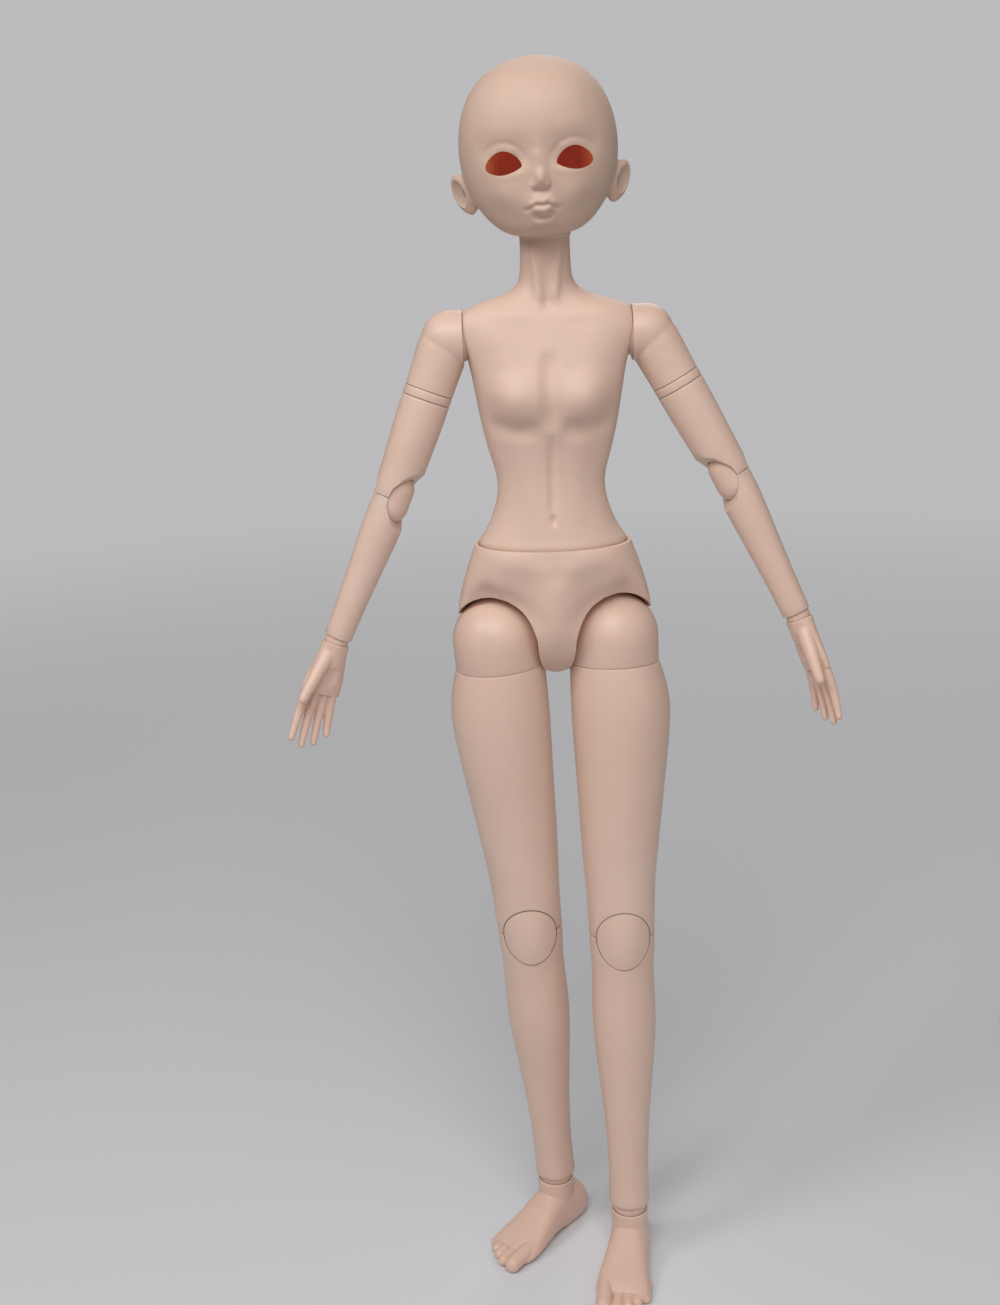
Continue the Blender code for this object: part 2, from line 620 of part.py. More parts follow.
def curve_point(start, start_way, end, end_way, share):
    """A point on a smooth bend from one place and heading to another."""
    length = (end - start).length
    first = start + start_way * length * 0.42
    second = end - end_way * length * 0.42
    left = 1.0 - share
    return (start * left ** 3 + first * 3.0 * left ** 2 * share
            + second * 3.0 * left * share ** 2 + end * share ** 3)


def build_arm_ring(name, finish, place):
    """The turning ring: a flat collar with a spigot up into the shoulder and down into the arm."""
    sides = ARM_SIDES
    spigot = spigot_for(ARM_RADIUS - ARM_WALL, sides)
    bore = spigot - ARM_WALL * 0.7
    top = -CLEARANCE
    low = top - RING_HEIGHT
    rings = [
        disc(low - RING_SPIGOT, spigot, sides), disc(low, spigot, sides), disc(low, ARM_RADIUS, sides),
        disc(top, ARM_RADIUS, sides), disc(top, spigot, sides), disc(top + RING_SPIGOT, spigot, sides),
        disc(top + RING_SPIGOT, bore, sides), disc(low - RING_SPIGOT, bore, sides),
    ]
    return put(name, skin(rings, closed_loop=True), finish, place)


def build_upper_arm(name, finish, place):
    sides = ARM_SIDES
    face = -RING_DROP - RING_HEIGHT - 2.0 * CLEARANCE
    end = -UPPER_ARM_LENGTH
    rim = end - seam_height(ELBOW_SPAN)
    bore = ARM_RADIUS - ARM_WALL
    outer = [disc(face, ARM_RADIUS, sides)]
    outer += [disc(-UPPER_ARM_LENGTH * along, ARM_RADIUS * width, sides) for along, width in UPPER_ARM_SHARES]
    outer.append(disc(rim, ARM_RADIUS * UPPER_ARM_END_SHARE, sides))
    seat = seat_for(ELBOW_RADIUS, sides)
    inner = [disc(rim, seat, sides)] + cup_rings(seat, end, 0.0, ARM_CHANNEL, 5, sides, 1.0)
    hollow = ARM_RADIUS * UPPER_ARM_SHARES[-1][1] - ARM_WALL
    inner.append(disc(end + seat + ARM_WALL, ARM_CHANNEL, sides))
    inner.append(disc(end + seat + TAPER_SHARE * hollow, hollow, sides))
    inner += [disc(face - RING_HEIGHT * 1.5, bore, sides), disc(face, bore, sides)]
    arm = put(name, skin(outer + inner, closed_loop=True), finish, place)
    open_end(arm, end, end - ELBOW_SPAN / 2.0, ELBOW_RADIUS, ELBOW_SPAN, 1.0)
    return arm


def build_forearm(name, finish, place):
    sides = ARM_SIDES
    top = seam_height(ELBOW_SPAN)
    end = -FOREARM_LENGTH
    rim = end + WRIST_BAND
    outer = [disc(top, FOREARM_RADIUS * FOREARM_TOP_SHARE, sides)]
    outer += [disc(-FOREARM_LENGTH * along, FOREARM_RADIUS * width, sides) for along, width in FOREARM_SHARES]
    outer.append(disc(rim, FOREARM_RADIUS * FOREARM_END_SHARE, sides))
    wrist = seat_for(WRIST_RADIUS, sides)
    inner = cup_rings(wrist, end, rim - end, ARM_CHANNEL * 0.8, 3, sides, 1.0)
    hollow = FOREARM_RADIUS * FOREARM_SHARES[-1][1] - ARM_WALL
    seat = seat_for(ELBOW_RADIUS, sides)
    inner.append(disc(end + wrist + ARM_WALL, ARM_CHANNEL * 0.8, sides))
    inner.append(disc(-FOREARM_LENGTH * 0.7, hollow, sides))
    inner += [disc(-seat - 2.0 * ARM_WALL, hollow, sides), disc(-seat - ARM_WALL * 0.5, ARM_CHANNEL, sides)]
    inner += on_ball(seat, 0.0, -math.degrees(math.acos(ARM_CHANNEL / seat)), 0.0, 5, sides)
    inner.append(disc(top, seat, sides))
    forearm = put(name, skin(outer + inner, closed_loop=True), finish, place)
    open_end(forearm, 0.0, ELBOW_SPAN / 2.0, ELBOW_RADIUS, ELBOW_SPAN, -1.0)
    return forearm


def build_hand(name, finish, place, sign):
    """A palm, four fingers and a thumb joined in one casting, with the wrist's ball seat."""
    sides = ARM_SIDES
    rim = -WRIST_BAND
    palm = [disc(rim, FOREARM_RADIUS * FOREARM_END_SHARE, sides)]
    for along, width, thick in PALM_SHARES:
        half = PALM_HALF_THICKNESS * thick
        palm.append(oval(-HAND_LENGTH * along, PALM_HALF_WIDTH * width, half, half, sides, power=2.3))
    hand = put(name, skin(palm), finish, place)
    start = -HAND_LENGTH * FINGER_START_SHARE
    for across, reach, lean in FINGER_SHARES:
        root = Vector((sign * PALM_HALF_WIDTH * across * 0.92, 0.0, start))
        tip = Vector((root.x + sign * lean * PALM_HALF_WIDTH, -PALM_HALF_THICKNESS * 0.7, -HAND_LENGTH * reach))
        combine(hand, finger(root, tip, FINGER_RADIUS), "UNION")
    root = Vector((sign * PALM_HALF_WIDTH * 0.45, -PALM_HALF_THICKNESS * 0.35,
                   -HAND_LENGTH * THUMB_START_SHARE))
    tip = root + Vector((sign * PALM_HALF_WIDTH * 0.75, -PALM_HALF_THICKNESS * 1.4, -THUMB_LENGTH))
    combine(hand, finger(root, tip, FINGER_RADIUS * 1.12), "UNION")
    combine(hand, ellipsoid_ball(seat_for(WRIST_RADIUS, sides), sides), "DIFFERENCE")
    well = rod(Vector((0.0, 0.0, -WRIST_RADIUS * 0.5)), Vector((0.0, 0.0, -WRIST_RADIUS - LIMB_HOOK_LENGTH)),
               ARM_CHANNEL * 0.8, 10)
    combine(hand, well, "DIFFERENCE")
    return hand


def finger(root, tip, radius):
    place = frame_from(tip - root, Vector((0.0, 1.0, 0.0)), root)
    length = (tip - root).length
    rings = [disc(length * share, radius * width, 8) for share, width in FINGER_RING_SHARES]
    mesh = skin(rings)
    mesh.transform(place)
    return mesh


def swing_room(sign):
    """The room that a hip ball and the top of its thigh sweep as the leg swings, as a solid."""
    ball = seat_for(HIP_BALL_RADIUS, LEG_SIDES)
    inward, outward = ball + ROOM_GROWTH_SHARES[1][1] * ball, ball + ROOM_GROWTH_SHARES[-1][1] * ball
    rings = []
    for number in range(ROOM_SLICES + 1):
        share = math.sin(math.pi * (number / ROOM_SLICES - 0.5)) * 0.998
        across = inward * share if share < 0.0 else outward * share
        outline = []
        for along, growth in reversed(ROOM_GROWTH_SHARES):
            outline.append(swing_point(-SWING_BACK, ball * along, -half_thickness(ball, growth, across)))
        begin, finish = -90.0 - SWING_BACK, -270.0 + SWING_FORWARD
        for step in range(1, ROOM_STEPS):
            turned = begin + (finish - begin) * step / ROOM_STEPS
            outline.append(swing_point(turned, half_thickness(ball, 0.0, across), 0.0))
        for along, growth in ROOM_GROWTH_SHARES:
            outline.append(swing_point(SWING_FORWARD, ball * along, half_thickness(ball, growth, across)))
        rings.append([Vector((sign * across, y, z)) for y, z in outline])
    return skin(rings)


def half_thickness(radius, growth, across):
    """Half the depth of a round limb, grown by a share, at a distance from its middle."""
    reach = radius * (1.0 + growth)
    return math.sqrt(max(reach ** 2 - across ** 2, (0.02 * radius) ** 2))


def swing_point(angle, along, lift):
    """A (y, z) point along a limb that has swung forward by an angle, lifted off its middle line."""
    turned = math.radians(angle)
    y = -along * math.sin(turned) - lift * math.cos(turned)
    z = -along * math.cos(turned) + lift * math.sin(turned)
    return y, z


def build_pelvis(name, finish, place, hips):
    sides = BODY_SIDES
    rings = []
    for height, width, front, back in PELVIS_SHARES:
        rings.append(oval(-CROTCH_DROP + PELVIS_HEIGHT * height, PELVIS_HALF_WIDTH * width,
                          PELVIS_DEPTH * front, PELVIS_DEPTH * back, sides, power=2.15))
    pelvis = put(name, skin(rings), finish, place)
    cup = ellipsoid(WAIST_HALF_WIDTH + CLEARANCE * 1.3, WAIST_RADIUS + CLEARANCE, WAIST_RADIUS + CLEARANCE,
                    Vector((0.0, 0.0, WAIST_RISE)), sides, 16)
    combine(pelvis, cup, "DIFFERENCE")
    for side, hip_place in hips.items():
        room = swing_room(SIGN[side])
        spread = Matrix.Rotation(math.radians(SIGN[side] * HIP_SPREAD), 4, "Z")
        combine(pelvis, room, "DIFFERENCE", Matrix.Translation(hip_place.translation) @ spread)
        start = Vector((SIGN[side] * HIP_HALF_SPACING, 0.0, 0.0))
        end = Vector((0.0, 0.0, WAIST_RISE - WAIST_RADIUS * 0.8))
        combine(pelvis, rod(start, end, LEG_CHANNEL, 12), "DIFFERENCE")
    return pelvis


def build_torso(name, finish, place):
    sides = BODY_SIDES
    rise, wide, deep = SHOULDER_RISE, CHEST_HALF_WIDTH, CHEST_DEPTH
    rings = []
    for share in WAIST_BALL_SHARES:
        level = -WAIST_RADIUS * share
        shrink = math.sqrt(1.0 - share ** 2)
        depth = WAIST_RADIUS * shrink
        rings.append(oval(level, WAIST_HALF_WIDTH * shrink, depth, depth, sides))
    for height, width, front, back, power in TORSO_SHARES:
        rings.append(oval(rise * height, wide * width, deep * front, deep * back, sides, power=power))
    base = rise * TORSO_SHARES[-1][0]
    stem = NECK_RISE - base
    for height, width, front, back in NECK_SHARES:
        rings.append(oval(base + stem * height, NECK_RADIUS * width,
                          NECK_RADIUS * front, NECK_RADIUS * back, sides))
    lowest = -math.degrees(math.acos(NECK_RADIUS / NECK_BALL_RADIUS))
    channel = math.degrees(math.acos(BODY_CHANNEL / NECK_BALL_RADIUS))
    rings += on_ball(NECK_BALL_RADIUS, NECK_RISE, lowest, channel, 6, sides)
    rings.append(disc(base, BODY_CHANNEL, sides))
    for height, width, front, back in TORSO_INSIDE_SHARES:
        rings.append(oval(rise * height, wide * width, deep * front, deep * back, sides, power=2.2))
    rings.append(oval(-WAIST_RADIUS * 0.62, wide * 0.45, deep * 0.38, deep * 0.38, sides))
    rings.append(oval(rings[0][0].z, wide * 0.28, deep * 0.28, deep * 0.28, sides))
    torso = put(name, skin(rings, closed_loop=True), finish, place)
    for sign in SIGN.values():
        near, far = sign * (SHOULDER_FACE - CLEARANCE * 0.5), sign * (wide + OVERRUN)
        reach = wide
        outline = [(-reach, rise - reach), (reach, rise - reach), (reach, rise + reach), (-reach, rise + reach)]
        combine(torso, prism(outline, min(near, far), max(near, far)), "DIFFERENCE")
        seat = ellipsoid_ball(seat_for(SHOULDER_BALL_RADIUS, ARM_SIDES), sides)
        seat.transform(Matrix.Translation((sign * SHOULDER_HALF_SPACING, 0.0, rise)))
        combine(torso, seat, "DIFFERENCE")
        inner = Vector((sign * wide * 0.45, 0.0, rise))
        outer = Vector((sign * (SHOULDER_HALF_SPACING - SHOULDER_BALL_RADIUS * 0.8), 0.0, rise))
        combine(torso, rod(inner, outer, ARM_CHANNEL * 1.4, 12), "DIFFERENCE")
    return torso


def head_point_rings(shares, sides):
    return [
        oval(-CHIN_DROP + HEAD_HEIGHT * height, HEAD_HALF_WIDTH * width, HEAD_HALF_DEPTH * front,
             HEAD_HALF_DEPTH * back, sides, power=2.15)
        for height, width, front, back in shares
    ]


def build_head(finish, place):
    """The hollow head, cut in two along a slanting plane: the face, and the cap that lifts off."""
    sides = BODY_SIDES
    outside = head_point_rings(HEAD_SHARES, sides)
    seat = seat_for(NECK_BALL_RADIUS, sides)
    low = -math.degrees(math.asin(SOCKET_RIM_DROP / seat))
    mouth = SOCKET_MOUTH
    top = math.degrees(math.acos(mouth / seat))
    socket = on_ball(seat, 0.0, low, top, 5, sides)
    dome_radius = seat + SOCKET_WALL
    over = math.degrees(math.acos(mouth / dome_radius))
    shoulder = on_ball(dome_radius, 0.0, over, 10.0, 4, sides)
    inside = head_point_rings(reversed(HEAD_INSIDE_SHARES), sides)
    rings = list(reversed(outside)) + socket + shoulder + inside
    mesh = skin(rings)
    nose = Vector((0.0, -HEAD_HALF_DEPTH * 0.92, NOSE_RISE - CHIN_DROP))
    for vertex in mesh.verts:
        away = Vector((vertex.co.x, 0.0, vertex.co.z - nose.z)).length / NOSE_SPREAD
        if vertex.co.y < -HEAD_HALF_DEPTH * 0.88:
            vertex.co.y -= NOSE_LENGTH * math.exp(-away ** 2)
    head = put("head_face", mesh, finish, place)
    for sign in SIGN.values():
        middle = Vector((sign * HEAD_HALF_WIDTH * 1.03, HEAD_HALF_DEPTH * 0.06, EAR_RISE - CHIN_DROP))
        ear = ellipsoid(EAR_HALF_THICKNESS, EAR_HALF_DEPTH, EAR_HALF_HEIGHT, middle, 10, 6)
        combine(head, ear, "UNION")
        eye = tunnel(EYE_HALF_WIDTH, EYE_HALF_HEIGHT, EYE_RISE - CHIN_DROP,
                     -HEAD_HALF_DEPTH * 1.3, -HEAD_HALF_DEPTH * 0.5, 16)
        eye.transform(Matrix.Translation((sign * EYE_HALF_SPACING, 0.0, 0.0)))
        combine(head, eye, "DIFFERENCE")
    cap = put("head_cap", copy_of(head), finish, place)
    combine(head, cap_room(CLEARANCE * 0.5, 1.0), "DIFFERENCE")
    combine(cap, cap_room(CLEARANCE * 0.5, -1.0), "DIFFERENCE")
    return head, cap


def copy_of(piece):
    mesh = bmesh.new()
    mesh.from_mesh(piece.data)
    return mesh


def cap_room(gap, way):
    """The space on one side of the slanting plane that parts the cap from the face."""
    deep, tall = HEAD_HALF_DEPTH, HEAD_HEIGHT
    front = Vector((0.0, deep * CAP_FRONT_SHARE, tall - CHIN_DROP))
    back = Vector((0.0, deep, tall * CAP_BACK_SHARE - CHIN_DROP))
    along = (back - front).normalized()
    normal = Vector((0.0, -along.z, along.y)) * way
    reach = 2.0 * tall
    corners = [front - along * reach, back + along * reach, back + along * reach, front - along * reach]
    lifts = [-gap, -gap, reach, reach]
    outline = [(corner.y + normal.y * lift, corner.z + normal.z * lift) for corner, lift in zip(corners, lifts)]
    return prism(outline, -reach, reach)


def string_along(name, points, diameter, finish, steps):
    """A round string or wire through points, as a tube with filled ends."""
    curve = bpy.data.curves.new(name, "CURVE")
    curve.dimensions = "3D"
    curve.bevel_depth = diameter / 2.0
    curve.bevel_resolution = 1
    curve.use_fill_caps = True
    spline = curve.splines.new("POLY")
    route = smooth_route(points, steps)
    spline.points.add(len(route) - 1)
    for target, point in zip(spline.points, route):
        target.co = (*point, 1.0)
    curve.materials.append(make_material(name, finish))
    string = bpy.data.objects.new(name, curve)
    bpy.context.scene.collection.objects.link(string)
    return string


def smooth_route(points, steps):
    """Points read from a smooth curve that passes through the given ones."""
    route = []
    for index in range(len(points) - 1):
        before = points[max(index - 1, 0)]
        start, end = points[index], points[index + 1]
        after = points[min(index + 2, len(points) - 1)]
        for step in range(steps):
            t = step / steps
            route.append(0.5 * (2.0 * start + (end - before) * t
                                + (2.0 * before - 5.0 * start + 4.0 * end - after) * t ** 2
                                + (3.0 * start - before - 3.0 * end + after) * t ** 3))
    route.append(points[-1])
    return route


def build_hooks(finish, neck):
    """The S-shaped head hook and the bar that it hangs from."""
    bar_rise = NECK_BALL_RADIUS + SOCKET_WALL + BAR_DIAMETER * 0.5 - BAR_SINK
    bend = HOOK_BEND
    low = -CHIN_DROP
    points = [
        (-bend, bar_rise - bend), (-bend, bar_rise + bend * 0.3), (0.0, bar_rise + bend),
        (bend, bar_rise + bend * 0.3), (bend, bar_rise - bend),
        (bend, low + bend * 1.2), (bend * 0.8, low + bend * 0.4), (0.0, low),
        (-bend * 0.8, low + bend * 0.4), (-bend, low + bend * 1.2), (-bend, low + bend * 2.0),
    ]
    route = [neck + Vector((0.0, y, z)) for y, z in points]
    string_along("neck_hook", route, HOOK_WIRE, finish, 2)
    middle = neck + Vector((0.0, 0.0, bar_rise))
    half = Vector((BAR_LENGTH / 2.0, 0.0, 0.0))
    put("head_bar", rod(middle - half, middle + half, BAR_DIAMETER / 2.0, 10), finish, Matrix.Identity(4))


def build_limb_hook(name, finish, top, bottom):
    """A small wire hook in a hand or foot, where a string ends."""
    way = bottom - top
    side = Vector((0.0, 1.0, 0.0)) * LIMB_HOOK_WIRE
    points = [
        top + side, top + way * 0.15 + side * 1.2, top + way * 0.5,
        top + way * 0.85 - side, bottom - side * 0.6,
    ]
    string_along(name, points, LIMB_HOOK_WIRE, finish, 2)


def leg_places(side):
    sign = SIGN[side]
    thigh_way = leaning(*THIGH_LEAN[side], sign)
    shin_way = leaning(*SHIN_LEAN[side], sign)
    knee_way = (thigh_way + shin_way).normalized()
    drop = THIGH_LENGTH * thigh_way + KNEE_SPAN * knee_way + SHIN_LENGTH * shin_way
    back = Vector((0.0, 1.0, 0.0))
    hip = Vector((sign * HIP_HALF_SPACING, 0.0, 0.0))
    knee_top = hip + THIGH_LENGTH * thigh_way
    knee_low = knee_top + KNEE_SPAN * knee_way
    ankle = knee_low + SHIN_LENGTH * shin_way
    turn = Matrix.Rotation(math.radians(FOOT_TURN[side]), 4, "Z")
    return {
        "hip": frame_from(-thigh_way, back, hip), "knee": frame_from(-knee_way, back, knee_top),
        "shin": frame_from(-shin_way, back, knee_low), "ankle": frame_from(-shin_way, back, ankle),
        "foot": Matrix.Translation(ankle) @ turn, "drop": -drop.z,
    }


def arm_places(side, shoulder):
    sign = SIGN[side]
    upper_way = leaning(*UPPER_ARM_LEAN[side], sign)
    fore_way = leaning(*FOREARM_LEAN[side], sign)
    hand_way = leaning(*HAND_LEAN[side], sign)
    elbow_way = (upper_way + fore_way).normalized()
    crease_turn = math.radians(ELBOW_CREASE_TURN)
    crease = Vector((-sign * math.cos(crease_turn), -math.sin(crease_turn), 0.0))
    root = shoulder + Vector((sign * ARM_OFFSET, 0.0, 0.0))
    elbow_top = root + UPPER_ARM_LENGTH * upper_way
    elbow_low = elbow_top + ELBOW_SPAN * elbow_way
    wrist = elbow_low + FOREARM_LENGTH * fore_way
    palm_turn = math.radians(PALM_TURN[side])
    hand_back = Vector((-math.sin(palm_turn), math.cos(palm_turn), 0.0))
    return {
        "shoulder": Matrix.Translation(shoulder), "arm": frame_from(-upper_way, crease, root),
        "ring": frame_from(-upper_way, crease, root + RING_DROP * upper_way),
        "elbow": frame_from(-elbow_way, crease, elbow_top), "forearm": frame_from(-fore_way, crease, elbow_low),
        "wrist": frame_from(-fore_way, crease, wrist), "hand": frame_from(-hand_way, hand_back, wrist),
    }


def shift(places, offset):
    move = Matrix.Translation(offset)
    return {name: move @ place for name, place in places.items() if name != "drop"}


def standing_places():
    """Where every piece stands: the legs and arms of both sides, and the hips, waist and neck."""
    legs = {side: leg_places(side) for side in SIGN}
    hips = Vector((0.0, STAND_BACK, ANKLE_HEIGHT + legs["right"]["drop"]))
    waist = hips + Vector((0.0, 0.0, WAIST_RISE))
    neck = waist + Vector((0.0, 0.0, NECK_RISE))
    legs = {side: shift(places, hips) for side, places in legs.items()}
    arms = {}
    for side, sign in SIGN.items():
        shoulder = waist + Vector((sign * SHOULDER_HALF_SPACING, 0.0, SHOULDER_RISE))
        arms[side] = arm_places(side, shoulder)
    return {"legs": legs, "arms": arms, "hips": hips, "waist": waist, "neck": neck}


def build_doll():
    clear_scene()
    places = standing_places()
    legs, arms, waist, neck = places["legs"], places["arms"], places["waist"], places["neck"]
    hips = {side: legs[side]["hip"] for side in SIGN}
    build_pelvis("pelvis", "resin", Matrix.Translation(places["hips"]), hips)
    build_torso("torso", "resin", Matrix.Translation(waist))
    build_head("resin", Matrix.Translation(neck) @ Matrix.Rotation(math.radians(HEAD_ROLL), 4, "Y"))
    build_hooks("steel", neck)

    leg_route, arm_route = {}, {}
    for side, sign in SIGN.items():
        leg = legs[side]
        waist_hole = waist + Vector((0.0, 0.0, -WAIST_RADIUS * 0.8))
        build_hip_ball(side + "_hip_ball", "resin", leg["hip"], waist_hole)
        build_thigh(side + "_thigh", "resin", leg["hip"], sign)
        joint_block(side + "_knee_joint", KNEE_RADIUS, KNEE_SPAN, LEG_CHANNEL, LEG_SIDES,
                    "resin", leg["knee"])
        build_shin(side + "_shin", "resin", leg["shin"], sign)
        build_ball(side + "_ankle_ball", ANKLE_RADIUS, LEG_CHANNEL * 0.6, LEG_SIDES, "resin", leg["ankle"])
        build_foot(side + "_foot", "hand_resin", leg["foot"], sign)
        ankle = leg["ankle"].translation
        build_limb_hook(side + "_ankle_hook", "steel", ankle - Vector((0.0, 0.0, ANKLE_RADIUS * 0.5)),
                        ankle - Vector((0.0, 0.0, ANKLE_RADIUS + LIMB_HOOK_LENGTH - LIMB_HOOK_WIRE)))
        run = Vector((sign * (LEG_STRING + HOOK_WIRE) * 0.56, 0.0, 0.0))
        leg_route[side] = [
            ankle, leg["shin"].translation, leg["knee"].translation, leg["hip"].translation,
            waist_hole + run * 1.3, waist + Vector((0.0, 0.0, SHOULDER_RISE)) + run,
            neck + Vector((0.0, 0.0, -CHIN_DROP - HOOK_WIRE)) + run,
        ]

        arm = arms[side]
        build_shoulder(side + "_shoulder", "resin", arm["shoulder"], sign, arm["ring"])
        build_arm_ring(side + "_upper_arm_ring", "resin", arm["ring"])
        build_upper_arm(side + "_upper_arm", "resin", arm["arm"])
        joint_block(side + "_elbow_joint", ELBOW_RADIUS, ELBOW_SPAN, ARM_CHANNEL, ARM_SIDES,
                    "resin", arm["elbow"])
        build_forearm(side + "_forearm", "resin", arm["forearm"])
        build_ball(side + "_wrist_ball", WRIST_RADIUS, ARM_CHANNEL * 0.7, ARM_SIDES, "resin", arm["wrist"])
        build_hand(side + "_hand", "hand_resin", arm["hand"], sign)
        hand_way = arm["hand"].to_3x3() @ Vector((0.0, 0.0, -1.0))
        wrist = arm["wrist"].translation
        build_limb_hook(side + "_wrist_hook", "steel", wrist + hand_way * WRIST_RADIUS * 0.5,
                        wrist + hand_way * (WRIST_RADIUS + LIMB_HOOK_LENGTH - LIMB_HOOK_WIRE))
        arm_route[side] = [
            wrist, arm["forearm"].translation, arm["elbow"].translation,
            arm["ring"].translation, arm["shoulder"].translation,
        ]

    crown = neck + Vector((0.0, 0.0, -CHIN_DROP + (LEG_STRING + HOOK_WIRE) / 2.0 + CLEARANCE))
    leg_run = leg_route["right"] + [crown] + leg_route["left"][::-1]
    string_along("leg_elastic", leg_run, LEG_STRING, "elastic", 2)
    behind = waist + Vector((0.0, ARM_STRING_BACK, SHOULDER_RISE))
    arm_run = arm_route["right"] + [behind] + arm_route["left"][::-1]
    string_along("arm_elastic", arm_run, ARM_STRING, "elastic", 2)


build_doll()
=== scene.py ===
"""Strung ball jointed doll: the castings, strings and stage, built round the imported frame.

Metres, +Z up. The doll faces -Y and its left side is +X.
In a limb's own frame Z runs up the limb, and -Y is the side of the kneecap or of the elbow's point.
"""

import json
import math

import bmesh
import bpy
import numpy as np
from bpy.props import FloatProperty, FloatVectorProperty, PointerProperty
from mathutils import Matrix, Vector


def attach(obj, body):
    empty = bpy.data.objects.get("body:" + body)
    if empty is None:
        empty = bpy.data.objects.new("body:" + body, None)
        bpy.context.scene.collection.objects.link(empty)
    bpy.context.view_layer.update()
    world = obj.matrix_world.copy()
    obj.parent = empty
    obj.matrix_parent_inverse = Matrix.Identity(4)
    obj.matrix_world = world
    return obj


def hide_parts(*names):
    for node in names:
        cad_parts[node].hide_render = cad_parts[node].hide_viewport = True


bl_info = {
    "name": "Strung Doll",
    "version": (1, 0, 0),
    "blender": (4, 5, 0),
    "location": "3D View > Sidebar > Doll",
    "description": "Builds a strung ball jointed doll, piece by piece, on its jointed frame",
    "category": "Object",
}

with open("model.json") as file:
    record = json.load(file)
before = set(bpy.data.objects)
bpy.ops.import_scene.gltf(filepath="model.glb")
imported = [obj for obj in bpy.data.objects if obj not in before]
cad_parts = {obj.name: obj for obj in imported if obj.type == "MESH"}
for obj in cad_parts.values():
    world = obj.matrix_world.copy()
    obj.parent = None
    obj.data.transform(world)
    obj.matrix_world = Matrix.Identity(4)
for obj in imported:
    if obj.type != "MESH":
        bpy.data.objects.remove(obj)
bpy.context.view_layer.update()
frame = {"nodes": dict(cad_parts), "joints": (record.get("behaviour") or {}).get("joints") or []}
JOINTS = {joint["name"]: joint for joint in frame["joints"]}
SIGN = {"right": -1.0, "left": 1.0}
UP = Vector((0.0, 0.0, 1.0))
BACK = Vector((0.0, 1.0, 0.0))
ORIGIN = Vector((0.0, 0.0, 0.0))

# Working fineness
LIMB_SIDES = 24
BODY_SIDES = 24
TOOL_SIDES = 96
BALL_SIDES = 64
SNAP = 1e-6
OVERRUN = 0.004

# Profiles along a limb: distance down, half width, bulge, as shares of the limb's own sizes
THIGH_SHARES = (
    (0.136, 0.950, 0.05), (0.23, 1.025, 0.115), (0.38, 0.970, 0.095), (0.54, 0.885, 0.06),
    (0.71, 0.812, 0.02), (0.827, 0.745, 0.0), (0.90, 0.715, 0.0),
)
SHIN_SHARES = (
    (0.0, 1.015, 0.0), (0.07, 0.960, 0.01), (0.14, 0.965, 0.03), (0.23, 1.000, 0.06),
    (0.33, 0.990, 0.06), (0.44, 0.900, 0.04), (0.55, 0.800, 0.02), (0.68, 0.700, 0.0),
    (0.82, 0.628, 0.0), (0.92, 0.640, 0.0),
)
SHOULDER_SHARES = ((0.0, 1.0), (0.35, 1.02), (0.70, 1.05), (0.95, 1.06), (1.25, 0.72))
UPPER_ARM_SHARES = ((0.52, 1.00), (0.68, 0.965), (0.84, 0.92))
FOREARM_SHARES = ((0.0, 1.02), (0.16, 1.01), (0.34, 0.93), (0.56, 0.83), (0.78, 0.75))
THIGH_END_SHARE = 0.685
SHIN_TOP_SHARE = 1.015
SHIN_END_SHARE = 0.650
UPPER_ARM_END_SHARE = 0.885
FOREARM_END_SHARE = 0.71

# Knees and elbows: the window over the shield and the folding notch, as shares of the block's radius and span
WINDOW_WIDTH_SHARE = 0.91
WINDOW_HEIGHT_SHARE = 1.08
WINDOW_DEPTH_SHARE = 0.15
SHIELD_SHARE = 1.095
NOTCH_SHARES = ((0.10, -2.4), (0.10, -0.70), (0.24, 0.04), (0.78, 0.90), (1.12, 1.24), (2.4, 3.2), (2.4, -2.4))

# Torso: height over the waist, half width, front, back, and how far the corners are let out
TORSO_SHARES = (
    (-0.052, 0.835, 0.830, 0.830, 1.0), (-0.020, 0.780, 0.800, 0.790, 1.01),
    (0.080, 0.680, 0.730, 0.705, 1.015), (0.190, 0.618, 0.685, 0.655, 1.015),
    (0.285, 0.632, 0.675, 0.655, 1.015), (0.365, 0.688, 0.695, 0.675, 1.015),
    (0.465, 0.745, 0.750, 0.695, 1.03), (0.560, 0.790, 0.860, 0.715, 1.03),
    (0.660, 0.825, 0.975, 0.735, 1.03), (0.740, 0.855, 1.000, 0.740, 1.045),
    (0.830, 0.885, 0.900, 0.740, 1.06), (0.925, 0.935, 0.770, 0.700, 1.10),
    (1.020, 1.000, 0.660, 0.650, 1.16), (1.100, 1.000, 0.570, 0.580, 1.16),
    (1.150, 0.930, 0.490, 0.510, 1.12), (1.183, 0.680, 0.445, 0.480, 1.04),
    (1.215, 0.440, 0.425, 0.460, 1.0),
)
NECK_SHARES = ((0.15, 1.10, 0.97, 1.05), (0.34, 1.02, 0.98, 1.02), (0.60, 1.0, 1.0, 1.0), (1.0, 1.0, 1.0, 1.0))
WAIST_BALL_SHARES = (0.915, 0.76, 0.56, 0.333)
